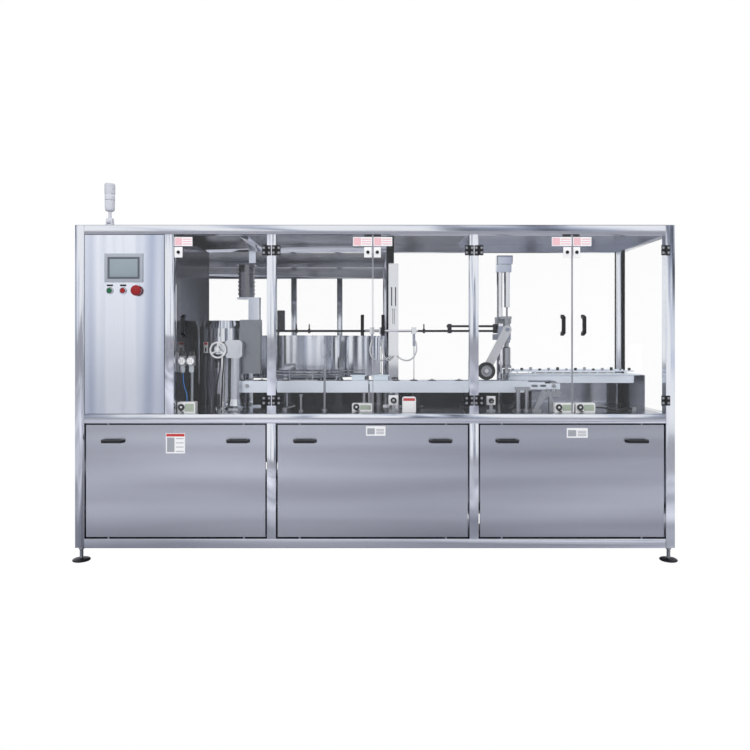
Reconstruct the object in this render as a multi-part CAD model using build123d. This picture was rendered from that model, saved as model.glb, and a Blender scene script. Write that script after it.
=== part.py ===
from build123d import *
import os
from math import atan2, cos, degrees, hypot, pi, radians, sin, tan

os.makedirs("parts", exist_ok=True)

# A framed filling and capping line for small bottles, in millimetres.
# X runs along the machine, Y from the operator's side to the back, Z up.
# The origin is on the floor under the middle of the whole machine.

# Frame: polished square tube, an L in plan with a deep chamber at the left
WIDTH = 3300.0
MAIN_DEPTH = 770.0
CHAMBER_DEPTH = 2600.0
CHAMBER_MID_DEPTH = 1650.0
FRAME_TOP = 1850.0
DECK_TOP = 810.0
TUBE = 50.0
TUBE_WALL = 2.0
FOOT_HEIGHT = 75.0
FOOT_PAD = 100.0
FOOT_PAD_RISE = 14.0
FOOT_STEM = 20.0
FOOT_NUT = 30.0
FOOT_NUT_RISE = 12.0
SHEET = 2.0
DECK_PLATE = 5.0
CABINET_POST_X = -1132.0
BAY_POST_1_X = -570.0
BAY_POST_2_X = 545.0
CHAMBER_RIGHT_X = 100.0
FAR_POST_1_X = -763.0
FAR_POST_2_X = -332.0
FAR_SEAM_X = -548.0

# Doors and windows: clear acrylic panes in the openings of the tube frame
PANE = 8.0
DOOR_GAP = 3.0
HINGE_RISE = 55.0
HINGE_LEAF = 24.0
HINGE_SHEET = 3.0
HINGE_PIN = 6.0
HINGE_BARREL = 10.0
HINGE_FROM_END = 73.0
BAY_2_MEETING_X = -12.5
BAY_3_MEETING_X = 1085.0
PULL_LENGTH = 98.0
PULL_BAR = 18.0
PULL_REACH = 42.0
PULL_FROM_EDGE = 55.0
PULL_Z = 1300.0
KEY_WIDTH = 40.0
KEY_RISE = 45.0
KEY_DEPTH = 12.0
SWITCH_RISE = 26.0
SWITCH_DEPTH = 26.0

# Lift-off base panels, hung on two lugs each
PANEL_GAP = 9.0
PANEL_INSET = 5.0
PANEL_DEPTH = 18.0
PANEL_SHEET = 1.5
GRIP_LENGTH = 116.0
GRIP_REACH = 38.0
GRIP_BAR = 16.0
GRIP_Z = 663.0
GRIP_FROM_EDGE = 150.0
LUG = 12.0

# Control cabinet at the left end
DOOR_DEPTH = 22.0
SCREEN_WIDTH = 217.0
SCREEN_RISE = 163.0
SCREEN_OFFSET = -2.5
SCREEN_Z = 1615.0
SCREEN_PROUD = 7.0
SCREEN_BODY_DEPTH = 38.0
BUTTON_Z = 1490.0
START_OFFSET = -79.5
STOP_OFFSET = -6.5
ESTOP_OFFSET = 70.5
BUTTON_COLLAR = 40.0
BUTTON_CAP = 27.0
BUTTON_TRAVEL = 4.0
ESTOP_CAP = 58.0
ESTOP_TRAVEL = 6.0
BUTTON_NECK = 22.0
BUTTON_FIT = 0.4

# Folding signal lamp on the top rail
LAMP_OFFSET = -89.5
LAMP_DIAMETER = 57.0
LAMP_HEIGHT = 150.0
LAMP_STEM = 17.0
LAMP_STEM_HEIGHT = 48.0
KNUCKLE = 34.0
KNUCKLE_WIDTH = 22.0

# Bottle drum with its turntable
DRUM_X = -575.0
DRUM_DEPTH = 1300.0
DRUM_RADIUS = 615.0
DRUM_FLOOR_Z = 975.0
DRUM_TOP_Z = 1250.0
DRUM_SHEET = 3.0
DRUM_RING = 60.0
DRUM_LEG = 40.0
TABLE_GAP = 6.0
TABLE_SHEET = 6.0
TABLE_SHAFT = 40.0

# Main conveyor, a slat chain between two side plates
BELT_LEFT_X = -801.0
BELT_RIGHT_X = 1106.0
BELT_FRONT_DEPTH = 313.0
BELT_WIDTH = 112.0
BELT_TOP_Z = 975.0
SIDE_PLATE = 6.0
SIDE_RISE = 70.0
SLAT_WIDTH = 83.0
SLAT_PITCH = 38.1
SLAT_LENGTH = 36.0
SLAT_THICKNESS = 4.0
ROLLER = 52.0
ROLLER_SHAFT = 20.0
BELT_JOINT_X = -36.0
JOINT_GAP = 8.0

# Filling station
FILL_X = 114.0
FILL_DEPTH = 470.0
FILL_COLUMN = 61.0
FILL_TOP_Z = 1692.0
TIE_Z = 1276.0
TIE_BAR = 14.0
TIE_LEFT_X = -618.0
TIE_2_Z = 1306.0
TIE_2_LEFT_X = 450.0
NEEDLE_XS = (-18.0, 39.0, 236.0)
NEEDLE = 5.0
NEEDLE_TIP_Z = 985.0
NOZZLE_TRAVEL = 60.0

# Capping station
CAP_COLUMN_X = 782.0
CAP_DEPTH = 510.0
CAP_COLUMN = 36.0
SPINDLE_X = 797.0
SPINDLE_BODY = 52.0
CAP_TOP_Z = 1747.0
CAP_TRAVEL = 60.0
WHEEL_X = 664.0
WHEEL_Z = 1034.0
WHEEL_DIAMETER = 106.0
ARM_PIVOT_X = 794.0
ARM_PIVOT_Z = 1282.0
ARM_WIDTH = 50.0
ARM_SHEET = 10.0

# Outfeed conveyor at the right end
OUT_LEFT_X = 825.0
OUT_RIGHT_GAP = 24.0
OUT_FRONT_DEPTH = 440.0
OUT_REAR_DEPTH = 640.0
OUT_TOP_Z = 1006.0
OUT_SIDE_RISE = 47.0

# Cap hopper and elevator
HOPPER_X = -935.0
HOPPER_DEPTH = 526.0
HOPPER_DIAMETER = 330.0
HOPPER_TOP_Z = 1338.0
ELEVATOR_LEFT_X = -813.0
ELEVATOR_RIGHT_X = -690.0
ELEVATOR_FRONT_DEPTH = 340.0
ELEVATOR_DEPTH = 60.0
ELEVATOR_BOTTOM_Z = 1017.0
ELEVATOR_TOP_Z = 1341.0
MOTOR_DIAMETER = 104.0
MOTOR_BOTTOM_Z = 1476.0
MOTOR_TOP_Z = 1671.0

# Height adjustment with its handwheel
HANDWHEEL_X = -921.0
HANDWHEEL_DEPTH = 236.0
HANDWHEEL_Z = 1160.0
STAND_X = -833.0
STAND_DEPTH = 292.0
HANDWHEEL_DIAMETER = 100.0
HANDWHEEL_RIM = 11.0

# Values worked out from the sizes above
FRONT_Y = -(CHAMBER_DEPTH + (FOOT_PAD - TUBE) / 2 - PULL_REACH) / 2
HALF = TUBE / 2
LEFT_X = -WIDTH / 2 + HALF
RIGHT_X = WIDTH / 2 - HALF
CABINET_MIDDLE_X = (LEFT_X + CABINET_POST_X) / 2
SCREEN_X = CABINET_MIDDLE_X + SCREEN_OFFSET
START_X = CABINET_MIDDLE_X + START_OFFSET
STOP_X = CABINET_MIDDLE_X + STOP_OFFSET
ESTOP_X = CABINET_MIDDLE_X + ESTOP_OFFSET
LAMP_X = CABINET_MIDDLE_X + LAMP_OFFSET
OUT_RIGHT_X = RIGHT_X - OUT_RIGHT_GAP


def at(depth):
    """The Y of a depth behind the front plane of the frame."""
    return FRONT_Y + depth


FRONT_ROW = at(HALF)
REAR_ROW = at(MAIN_DEPTH - HALF)
MID_ROW = at(CHAMBER_MID_DEPTH)
FAR_ROW = at(CHAMBER_DEPTH - HALF)
BOTTOM_RAIL_Z = FOOT_HEIGHT + HALF
DECK_RAIL_Z = DECK_TOP - HALF
TOP_RAIL_Z = FRAME_TOP - HALF
BASE_TOP_Z = DECK_TOP - TUBE
OPEN_TOP_Z = FRAME_TOP - TUBE


def box(x0, x1, y0, y1, z0, z1):
    """A square-edged solid between two corners."""
    middle = Pos((x0 + x1) / 2, (y0 + y1) / 2, (z0 + z1) / 2)
    return middle * Box(x1 - x0, y1 - y0, z1 - z0)


def flats(diameter):
    """How many flats stand for a small round of this diameter."""
    if diameter <= 12:
        return 6
    return 8 if diameter <= 30 else 12


def rod(start, along, diameter, length):
    """A bar from the middle of its first end; small ones are many-sided."""
    where = Plane(origin=start, z_dir=along).location
    if diameter > 90:
        return where * Cylinder(diameter / 2, length,
                                align=(Align.CENTER, Align.CENTER, Align.MIN))
    return where * extrude(RegularPolygon(diameter / 2, flats(diameter)), length)


def hole(start, along, diameter, length):
    """A many-sided cutter that leaves at least this diameter clear."""
    where = Plane(origin=start, z_dir=along).location
    outline = RegularPolygon(diameter / 2, flats(diameter), major_radius=False)
    return where * extrude(outline, length)


def ring(start, along, outer, inner, length):
    """A bush or collar with a round bore."""
    return rod(start, along, outer, length) - rod(start, along, inner, length)


def tube(axis, start, end, u, v, size=TUBE, wall=TUBE_WALL):
    """A square tube along an axis, its centre line at the other two coordinates."""
    length = end - start
    middle = (start + end) / 2
    section = Box(size, size, length) - Box(size - 2 * wall, size - 2 * wall, length)
    if axis == "x":
        return Pos(middle, u, v) * Rot(0, 90, 0) * section
    if axis == "y":
        return Pos(u, middle, v) * Rot(90, 0, 0) * section
    return Pos(u, v, middle) * section


def turned(profile, x, y, z=0.0, sides=0):
    """A turned solid from (radius, height) points, round or with a number of sides."""
    if not sides:
        outline = make_face(Polyline(*profile, close=True))
        return Pos(x, y, z) * revolve(Plane.XZ * outline, Axis.Z)
    around = [(cos(2 * pi * k / sides), sin(2 * pi * k / sides)) for k in range(sides)]
    faces = []
    for (r0, z0), (r1, z1) in zip(profile, profile[1:] + profile[:1]):
        for (c0, s0), (c1, s1) in zip(around, around[1:] + around[:1]):
            corners = [(r0 * c0, r0 * s0, z0), (r0 * c1, r0 * s1, z0),
                       (r1 * c1, r1 * s1, z1), (r1 * c0, r1 * s0, z1)]
            corners = [c for i, c in enumerate(corners) if c not in corners[:i]]
            if len(corners) > 2:
                faces.append(Face(Wire.make_polygon(corners, close=True)))
    solid = Solid(Shell(faces))
    if solid.volume < 0:
        solid = Solid(solid.wrapped.Reversed())
    return Pos(x, y, z) * solid


def solids_of(items):
    """Every solid in a list of shapes, each by itself."""
    found = []
    for item in items:
        found.extend(item.solids())
    return found


def save(name, *items):
    """Write one named sub-part, with each of its pieces as a solid of its own."""
    pieces = solids_of(items)
    part = Compound(children=[Solid(piece.wrapped) for piece in pieces])
    part.label = name
    export_step(part, "parts/" + name + ".step")
    print(name, len(pieces))


# Welded tube frame round the working bays

FOOT_PLATE = 8.0
FIT = 0.3
MOTOR_BEAM_X = -740.0
CROSS_XS = [CABINET_POST_X, BAY_POST_1_X, BAY_POST_2_X]
CORNER_FEET = [
    (LEFT_X, FRONT_ROW),
    (RIGHT_X, FRONT_ROW),
    (RIGHT_X, REAR_ROW),
    (LEFT_X, FAR_ROW),
    (CHAMBER_RIGHT_X, FAR_ROW),
]
MIDDLE_FEET = [(LEFT_X, REAR_ROW), (CHAMBER_RIGHT_X, REAR_ROW)]


def post(x, y):
    """A full-height post, capped at the top, its foot plate drilled for the foot."""
    body = tube("z", FOOT_HEIGHT, FRAME_TOP, x, y)
    cap = box(x - HALF, x + HALF, y - HALF, y + HALF, FRAME_TOP - TUBE_WALL, FRAME_TOP)
    plate_top = FOOT_HEIGHT + FOOT_PLATE
    plate = box(x - HALF, x + HALF, y - HALF, y + HALF, FOOT_HEIGHT, plate_top)
    plate -= hole((x, y, FOOT_HEIGHT), (0, 0, 1), FOOT_STEM + 2 * FIT, FOOT_PLATE)
    return body + cap + plate


def lower_post(x, y):
    return tube("z", FOOT_HEIGHT + TUBE, BASE_TOP_Z, x, y)


def upper_post(x, y):
    return tube("z", DECK_TOP, OPEN_TOP_Z, x, y)


def rails(axis, start, end, other, levels=(BOTTOM_RAIL_Z, DECK_RAIL_Z, TOP_RAIL_Z)):
    """The same rail at several heights, between the faces of two posts."""
    if axis == "x":
        return [tube("x", start + HALF, end - HALF, other, z) for z in levels]
    return [tube("y", start + HALF, end - HALF, other, z) for z in levels]


def main_frame():
    low_deck_z = DECK_RAIL_Z - DECK_PLATE
    pieces = [post(x, y) for x, y in CORNER_FEET[:3] + MIDDLE_FEET]
    pieces += rails("x", LEFT_X, RIGHT_X, FRONT_ROW)
    pieces += rails("x", LEFT_X, CHAMBER_RIGHT_X, REAR_ROW)
    pieces += rails("x", CHAMBER_RIGHT_X, RIGHT_X, REAR_ROW)
    pieces += rails("y", FRONT_ROW, REAR_ROW, LEFT_X)
    pieces += rails("y", FRONT_ROW, REAR_ROW, RIGHT_X)
    for x in CROSS_XS:
        pieces += rails("y", FRONT_ROW, REAR_ROW, x, (BOTTOM_RAIL_Z, low_deck_z))
        pieces.append(upper_post(x, FRONT_ROW))
    pieces += [lower_post(x, FRONT_ROW) for x in (BAY_POST_1_X, BAY_POST_2_X)]
    pieces += rails("y", FRONT_ROW, REAR_ROW, MOTOR_BEAM_X, (TOP_RAIL_Z,))
    save("main_frame", *pieces)


def chamber_frame():
    low_deck_z = DECK_RAIL_Z - DECK_PLATE
    pieces = [post(x, y) for x, y in CORNER_FEET[3:]]
    pieces += rails("x", LEFT_X, CHAMBER_RIGHT_X, FAR_ROW)
    mid_levels = (BOTTOM_RAIL_Z, low_deck_z, TOP_RAIL_Z)
    pieces += rails("x", LEFT_X, CHAMBER_RIGHT_X, MID_ROW, mid_levels)
    for x in (LEFT_X, CHAMBER_RIGHT_X):
        pieces += rails("y", REAR_ROW, FAR_ROW, x)
        pieces += [lower_post(x, MID_ROW), upper_post(x, MID_ROW)]
    pieces += [upper_post(x, FAR_ROW) for x in (FAR_POST_1_X, FAR_POST_2_X)]
    save("chamber_frame", *pieces)


def levelling_feet():
    """Threaded feet: a coned pad, a stem up into the post and a lock nut under it."""
    pad = FOOT_PAD / 2
    stem = FOOT_STEM / 2
    profile = [
        (0, 0),
        (pad, 0),
        (pad, 5),
        (pad * 0.62, FOOT_PAD_RISE),
        (stem + 6, FOOT_PAD_RISE + 3),
        (stem + 6, FOOT_PAD_RISE + 12),
        (stem, FOOT_PAD_RISE + 16),
        (stem, FOOT_HEIGHT + FOOT_PLATE + 10),
        (0, FOOT_HEIGHT + FOOT_PLATE + 10),
    ]
    nut = extrude(RegularPolygon(FOOT_NUT / 2, 6), FOOT_NUT_RISE)
    nut_z = FOOT_HEIGHT - FOOT_NUT_RISE
    feet = []
    for x, y in CORNER_FEET + MIDDLE_FEET:
        feet.append(turned(profile, x, y, sides=10) + Pos(x, y, nut_z) * nut)
    save("levelling_feet", *feet)


def roof_sheets():
    """Sheets laid on the top rails, over the bays and over the chamber."""
    bottom, top = FRAME_TOP, FRAME_TOP + SHEET
    left, right = LEFT_X - HALF, RIGHT_X + HALF
    front, rear, far = FRONT_ROW - HALF, REAR_ROW + HALF, FAR_ROW + HALF
    chamber_right = CHAMBER_RIGHT_X + HALF
    return [
        box(left, BAY_POST_2_X, front, rear, bottom, top),
        box(BAY_POST_2_X, right, front, rear, bottom, top),
        box(left, chamber_right, rear, MID_ROW, bottom, top),
        box(left, chamber_right, MID_ROW, far, bottom, top),
    ]


def deck_plate():
    """Thick plates flush with the top of the deck rails, on the lowered cross rails."""
    bottom = DECK_TOP - DECK_PLATE
    left, right = LEFT_X + HALF, RIGHT_X - HALF
    save(
        "deck_plate",
        box(left, right, FRONT_ROW + HALF, REAR_ROW - HALF, bottom, DECK_TOP),
        box(left, CHAMBER_RIGHT_X - HALF, REAR_ROW + HALF, FAR_ROW - HALF, bottom, DECK_TOP),
    )


# Closed sides, windows and guards in the openings of the frame

GUARD_TOP_Z = OUT_TOP_Z
GUARD_FRONT_DEPTH = 382.0
REAR_GUARD_LEFT_X = 1043.0
SPLASH_TOP_Z = 930.0
SPLASH_GAP_LEFT_X = 75.0
SPLASH_GAP_RIGHT_X = 125.0
OUTLET_SIDE = 20.0
OUTLET_RISE = 190.0


def filling(axis, start, end, face, thickness, bottom, top, outward):
    """A flat panel between two posts, its outer side flush with the face given."""
    near, far = sorted((face, face - outward * thickness))
    if axis == "x":
        return box(start + HALF, end - HALF, near, far, bottom, top)
    return box(near, far, start + HALF, end - HALF, bottom, top)


def outer_skins():
    """Roof, sheet sides of the base, and the two low guards behind the outfeed."""
    left, right = LEFT_X - HALF, RIGHT_X + HALF
    inner_right = CHAMBER_RIGHT_X + HALF
    z = (FOOT_HEIGHT + TUBE, BASE_TOP_Z)
    pieces = [
        filling("y", FRONT_ROW, REAR_ROW, left, SHEET, *z, -1),
        filling("y", REAR_ROW, MID_ROW, left, SHEET, *z, -1),
        filling("y", MID_ROW, FAR_ROW, left, SHEET, *z, -1),
        filling("x", LEFT_X, CHAMBER_RIGHT_X, FAR_ROW + HALF, SHEET, *z, 1),
        filling("y", REAR_ROW, MID_ROW, inner_right, SHEET, *z, 1),
        filling("y", MID_ROW, FAR_ROW, inner_right, SHEET, *z, 1),
        filling("x", CHAMBER_RIGHT_X, RIGHT_X, REAR_ROW + HALF, SHEET, *z, 1),
        filling("y", FRONT_ROW, REAR_ROW, right, SHEET, *z, 1),
    ]
    side_guard_x = right - PANE - SHEET
    rear_guard_y = REAR_ROW + HALF - PANE - SHEET
    guard_rear = REAR_ROW - HALF
    pieces.append(
        box(side_guard_x, side_guard_x + SHEET, at(GUARD_FRONT_DEPTH), guard_rear,
            DECK_TOP, GUARD_TOP_Z)
    )
    pieces.append(
        box(REAR_GUARD_LEFT_X, RIGHT_X - HALF, rear_guard_y, rear_guard_y + SHEET,
            DECK_TOP, GUARD_TOP_Z)
    )
    splash_spans = (
        (CABINET_POST_X + HALF, SPLASH_GAP_LEFT_X),
        (SPLASH_GAP_RIGHT_X, REAR_GUARD_LEFT_X),
    )
    for x0, x1 in splash_spans:
        pieces.append(
            box(x0, x1, rear_guard_y, rear_guard_y + SHEET, DECK_TOP, SPLASH_TOP_Z)
        )
    save("outer_skins", *roof_sheets(), *pieces)


def fixed_windows():
    """Clear panes that fill the side and back openings, flush with the outer faces."""
    z = (DECK_TOP, OPEN_TOP_Z)
    right, left = RIGHT_X + HALF, LEFT_X - HALF
    rear = REAR_ROW + HALF
    far = FAR_ROW + HALF
    chamber_right = CHAMBER_RIGHT_X + HALF
    side = filling("y", FRONT_ROW, REAR_ROW, right, PANE, *z, 1)
    side -= box(
        right - 2 * PANE, right + PANE,
        at(OUT_FRONT_DEPTH - OUTLET_SIDE), at(OUT_REAR_DEPTH + OUTLET_SIDE),
        OUT_TOP_Z + DOOR_GAP, OUT_TOP_Z + OUTLET_RISE,
    )
    middle = (CHAMBER_RIGHT_X + RIGHT_X) / 2
    seam = DOOR_GAP / 2
    panes = [
        side,
        filling("x", CHAMBER_RIGHT_X, middle - seam + HALF, rear, PANE, *z, 1),
        filling("x", middle + seam - HALF, RIGHT_X, rear, PANE, *z, 1),
        filling("y", REAR_ROW, MID_ROW, chamber_right, PANE, *z, 1),
        filling("y", MID_ROW, FAR_ROW, chamber_right, PANE, *z, 1),
        filling("y", REAR_ROW, MID_ROW, left, PANE, *z, -1),
        filling("y", MID_ROW, FAR_ROW, left, PANE, *z, -1),
        filling("x", LEFT_X, FAR_POST_1_X, far, PANE, *z, 1),
        filling("x", FAR_POST_1_X, FAR_SEAM_X - seam + HALF, far, PANE, *z, 1),
        filling("x", FAR_SEAM_X + seam - HALF, FAR_POST_2_X, far, PANE, *z, 1),
        filling("x", FAR_POST_2_X, CHAMBER_RIGHT_X, far, PANE, *z, 1),
    ]
    save("fixed_windows", *panes)


# Control cabinet: sheet walls, a back plate and what is mounted on it

CABINET_RIGHT_X = CABINET_POST_X + HALF
BACK_PLATE = 3.0
BACK_PLATE_STAND = 30.0
BACK_PLATE_MARGIN = 40.0


def cabinet_shell():
    z = (DECK_TOP, OPEN_TOP_Z)
    front = FRONT_ROW + HALF
    rear = REAR_ROW + HALF
    left = LEFT_X - HALF
    inner = CABINET_RIGHT_X - SHEET
    side = box(left, left + SHEET, front, REAR_ROW - HALF, *z)
    wall = box(inner, CABINET_RIGHT_X, front, rear, *z)
    back = box(LEFT_X + HALF, inner, rear - SHEET, rear, *z)
    plate_y = rear - SHEET - BACK_PLATE_STAND
    x0, x1 = LEFT_X + HALF + BACK_PLATE_MARGIN, inner - BACK_PLATE_MARGIN
    z0, z1 = DECK_TOP + BACK_PLATE_MARGIN, OPEN_TOP_Z - BACK_PLATE_MARGIN
    plate = box(x0, x1, plate_y - BACK_PLATE, plate_y, z0, z1)
    pieces = [side, wall, back, plate]
    for x in (x0 + BACK_PLATE_MARGIN, x1 - BACK_PLATE_MARGIN):
        for height in (z0 + BACK_PLATE_MARGIN, z1 - BACK_PLATE_MARGIN):
            pieces.append(rod((x, plate_y, height), (0, 1, 0), 16.0, BACK_PLATE_STAND))
    save("cabinet_shell", *pieces)


def control_modules():
    """Controller, power supply, drives and contactors in rows on the back plate."""
    plate_front = REAR_ROW + HALF - SHEET - BACK_PLATE_STAND - BACK_PLATE
    left = LEFT_X + HALF + 2 * BACK_PLATE_MARGIN
    rows = [
        (1560.0, [(90, 125, 95), (60, 125, 95), (60, 125, 95), (120, 110, 80)]),
        (1320.0, [(75, 160, 120), (75, 160, 120), (75, 160, 120), (75, 160, 120)]),
        (1120.0, [(45, 80, 85)] * 7),
        (920.0, [(360, 45, 50)]),
    ]
    pieces = []
    for bottom, row in rows:
        x = left
        for width, rise, deep in row:
            module = box(x, x + width, plate_front - deep, plate_front, bottom, bottom + rise)
            front_edges = module.edges().filter_by(Axis.Z).group_by(Axis.Y)[0]
            pieces.append(chamfer(front_edges, 4.0))
            x += width + 8.0
    save("control_modules", *pieces)


# Control door: a folded tray on two corner pivots, with its screen and buttons

DOOR_LEFT_X = LEFT_X + HALF + DOOR_GAP
DOOR_RIGHT_X = CABINET_POST_X - HALF - DOOR_GAP
DOOR_BOTTOM_Z = DECK_TOP + DOOR_GAP
DOOR_TOP_Z = OPEN_TOP_Z - DOOR_GAP
DOOR_SHEET = 1.5
PIVOT_INSET = 6.0
PIVOT_PIN = 6.0
PIVOT_BLOCK = 18.0
PIVOT_BLOCK_RISE = 12.0
PIVOT_X = DOOR_LEFT_X + PIVOT_INSET
PIVOT_Y = FRONT_Y + PIVOT_INSET
SCREEN_LIP = 6.0
SCREEN_RECESS = 2.5
GLASS_WIDTH = 168.0
GLASS_RISE = 106.0


def tray(x0, x1, face_y, depth, z0, z1, sheet):
    """A sheet folded back on all four edges, open behind."""
    outside = box(x0, x1, face_y, face_y + depth, z0, z1)
    inside = box(
        x0 + sheet, x1 - sheet, face_y + sheet, face_y + depth, z0 + sheet, z1 - sheet
    )
    return outside - inside


def outward(profile, x, z, face_y=FRONT_Y):
    """A turned solid on a front face, heights measured out from the face."""
    return Pos(x, face_y, z) * Rot(90, 0, 0) * turned(profile, 0, 0, sides=12)


def control_door_skin():
    skin = tray(DOOR_LEFT_X, DOOR_RIGHT_X, FRONT_Y, DOOR_DEPTH, DOOR_BOTTOM_Z,
                DOOR_TOP_Z, DOOR_SHEET)
    body_width = SCREEN_WIDTH - 2 * SCREEN_LIP + 2 * FIT
    body_rise = SCREEN_RISE - 2 * SCREEN_LIP + 2 * FIT
    skin -= Pos(SCREEN_X, FRONT_Y, SCREEN_Z) * Box(body_width, 4 * DOOR_SHEET, body_rise)
    for x in (START_X, STOP_X, ESTOP_X):
        hole_start = (x, FRONT_Y - DOOR_SHEET, BUTTON_Z)
        skin -= hole(hole_start, (0, 1, 0), BUTTON_NECK + 2 * FIT, 4 * DOOR_SHEET)
    lowest = DOOR_BOTTOM_Z + DOOR_SHEET
    highest = DOOR_TOP_Z - DOOR_SHEET - PIVOT_BLOCK_RISE
    pin_hole = hole(
        (PIVOT_X, PIVOT_Y, DOOR_BOTTOM_Z), (0, 0, 1), PIVOT_PIN + 2 * FIT,
        DOOR_TOP_Z - DOOR_BOTTOM_Z,
    )
    for bottom in (lowest, highest):
        inner_x = DOOR_LEFT_X + DOOR_SHEET
        inner_y = FRONT_Y + DOOR_SHEET
        skin += box(inner_x, inner_x + PIVOT_BLOCK, inner_y, inner_y + PIVOT_BLOCK,
                    bottom, bottom + PIVOT_BLOCK_RISE)
    save("control_door_skin", skin - pin_hole)


def touch_screen():
    """Bezel with its body through the door, and the glass in the bezel's recess."""
    half_w, half_r = SCREEN_WIDTH / 2, SCREEN_RISE / 2
    bezel = box(SCREEN_X - half_w, SCREEN_X + half_w, FRONT_Y - SCREEN_PROUD, FRONT_Y,
                SCREEN_Z - half_r, SCREEN_Z + half_r)
    bezel = chamfer(bezel.faces().sort_by(Axis.Y)[0].edges(), 3.0)
    lip = SCREEN_LIP
    body = box(SCREEN_X - half_w + lip, SCREEN_X + half_w - lip, FRONT_Y,
               FRONT_Y + SCREEN_BODY_DEPTH, SCREEN_Z - half_r + lip, SCREEN_Z + half_r - lip)
    recess_y = FRONT_Y - SCREEN_PROUD + SCREEN_RECESS
    glass = Pos(SCREEN_X, recess_y - SCREEN_RECESS / 2 + 0.5, SCREEN_Z) * Box(
        GLASS_WIDTH, SCREEN_RECESS - 1.0, GLASS_RISE
    )
    recess = Pos(SCREEN_X, recess_y - SCREEN_RECESS / 2, SCREEN_Z) * Box(
        GLASS_WIDTH, SCREEN_RECESS, GLASS_RISE
    )
    save("touch_screen", bezel + body - recess, glass)


COLLAR_RISE = 9.0
COLLAR_FLOOR = 1.5
COLLAR_BARREL = 22.0
STEM_RADIUS = 6.0
STEM_BEHIND = 26.0
CONTACT_BLOCK = 30.0
CONTACT_DEPTH = 42.0
CAP_PROUD = 2.0


def button_collars():
    """Three collars through the door, each with its contact block behind."""
    pieces = []
    for x, collar, seat in (
        (START_X, BUTTON_COLLAR, BUTTON_CAP),
        (STOP_X, BUTTON_COLLAR, BUTTON_CAP),
        (ESTOP_X, BUTTON_COLLAR + 8.0, BUTTON_CAP),
    ):
        bore = STEM_RADIUS + BUTTON_FIT
        seat_radius = seat / 2 + BUTTON_FIT
        profile = [
            (bore, -COLLAR_BARREL),
            (BUTTON_NECK / 2, -COLLAR_BARREL),
            (BUTTON_NECK / 2, 0),
            (collar / 2, 0),
            (collar / 2, COLLAR_RISE - 2),
            (collar / 2 - 2, COLLAR_RISE),
            (seat_radius, COLLAR_RISE),
            (seat_radius, COLLAR_FLOOR),
            (bore, COLLAR_FLOOR),
        ]
        pieces.append(outward(profile, x, BUTTON_Z))
        block_y = FRONT_Y + COLLAR_BARREL
        block = box(x - CONTACT_BLOCK / 2, x + CONTACT_BLOCK / 2, block_y,
                    block_y + CONTACT_DEPTH, BUTTON_Z - CONTACT_BLOCK / 2,
                    BUTTON_Z + CONTACT_BLOCK / 2)
        block -= hole((x, block_y, BUTTON_Z), (0, 1, 0), 2 * bore, STEM_BEHIND - COLLAR_BARREL
                     + ESTOP_TRAVEL + 2)
        pieces.append(block)
    save("button_collars", *pieces)


def flat_cap(name, x):
    """A round button head on its stem, standing a little proud of the collar."""
    head = COLLAR_FLOOR + BUTTON_TRAVEL + BUTTON_FIT
    top = COLLAR_RISE + CAP_PROUD
    radius = BUTTON_CAP / 2
    profile = [
        (0, -STEM_BEHIND), (STEM_RADIUS, -STEM_BEHIND), (STEM_RADIUS, head),
        (radius, head), (radius, top - 1), (radius - 1, top), (0, top),
    ]
    save(name, outward(profile, x, BUTTON_Z))


def mushroom_cap(name, x):
    """The stop head that is struck with the palm: a dome over a waisted neck."""
    under = COLLAR_RISE + ESTOP_TRAVEL + 1
    neck = BUTTON_CAP / 2 - 1
    radius = ESTOP_CAP / 2
    profile = [
        (0, -STEM_BEHIND), (STEM_RADIUS, -STEM_BEHIND), (STEM_RADIUS, under - 4),
        (neck, under - 1), (neck + 3, under), (radius - 2, under), (radius, under + 3),
        (radius, under + 7), (radius * 0.85, under + 11), (radius * 0.55, under + 14),
        (0, under + 15),
    ]
    save(name, outward(profile, x, BUTTON_Z))


KNUCKLE_RISE = (HINGE_RISE - 2 * FIT) / 3
PIN_PROUD = HINGE_BARREL / 2


def hinge_xs():
    """Each guard door as name, hinged edge, free edge; pane edges, not posts."""
    half_gap = DOOR_GAP / 2
    return [
        ("guard_1", BAY_POST_1_X - HALF - DOOR_GAP, CABINET_RIGHT_X + DOOR_GAP),
        ("guard_2_left", BAY_POST_1_X + HALF + DOOR_GAP, BAY_2_MEETING_X - half_gap),
        ("guard_2_right", BAY_POST_2_X - HALF - DOOR_GAP, BAY_2_MEETING_X + half_gap),
        ("guard_3_left", BAY_POST_2_X + HALF + DOOR_GAP, BAY_3_MEETING_X - half_gap),
        ("guard_3_right", RIGHT_X - HALF - DOOR_GAP, BAY_3_MEETING_X + half_gap),
    ]


def side_of(hinge_x, free_x):
    """Plus one where the door lies to the right of its hinge, minus one to the left."""
    return 1.0 if free_x > hinge_x else -1.0


def hinge_zs():
    middle = HINGE_FROM_END + HINGE_RISE / 2 - HALF
    return (DECK_TOP + middle, OPEN_TOP_Z - middle - HALF / 2)


def leaf(pin_x, pin_y, side, bottom, heights):
    """A hinge leaf on the front plane, with knuckles at the heights given."""
    near = pin_x + side * (PIN_PROUD + FIT)
    far = pin_x + side * HINGE_LEAF
    x0, x1 = sorted((near, far))
    plate = box(x0, x1, FRONT_Y - HINGE_SHEET, FRONT_Y, bottom, bottom + HINGE_RISE)
    for low in heights:
        a, b = sorted((pin_x, near))
        plate += box(a, b, FRONT_Y - HINGE_SHEET, FRONT_Y - FIT, low, low + KNUCKLE_RISE)
        plate += rod((pin_x, pin_y, low), (0, 0, 1), HINGE_BARREL, KNUCKLE_RISE)
    return plate


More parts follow.
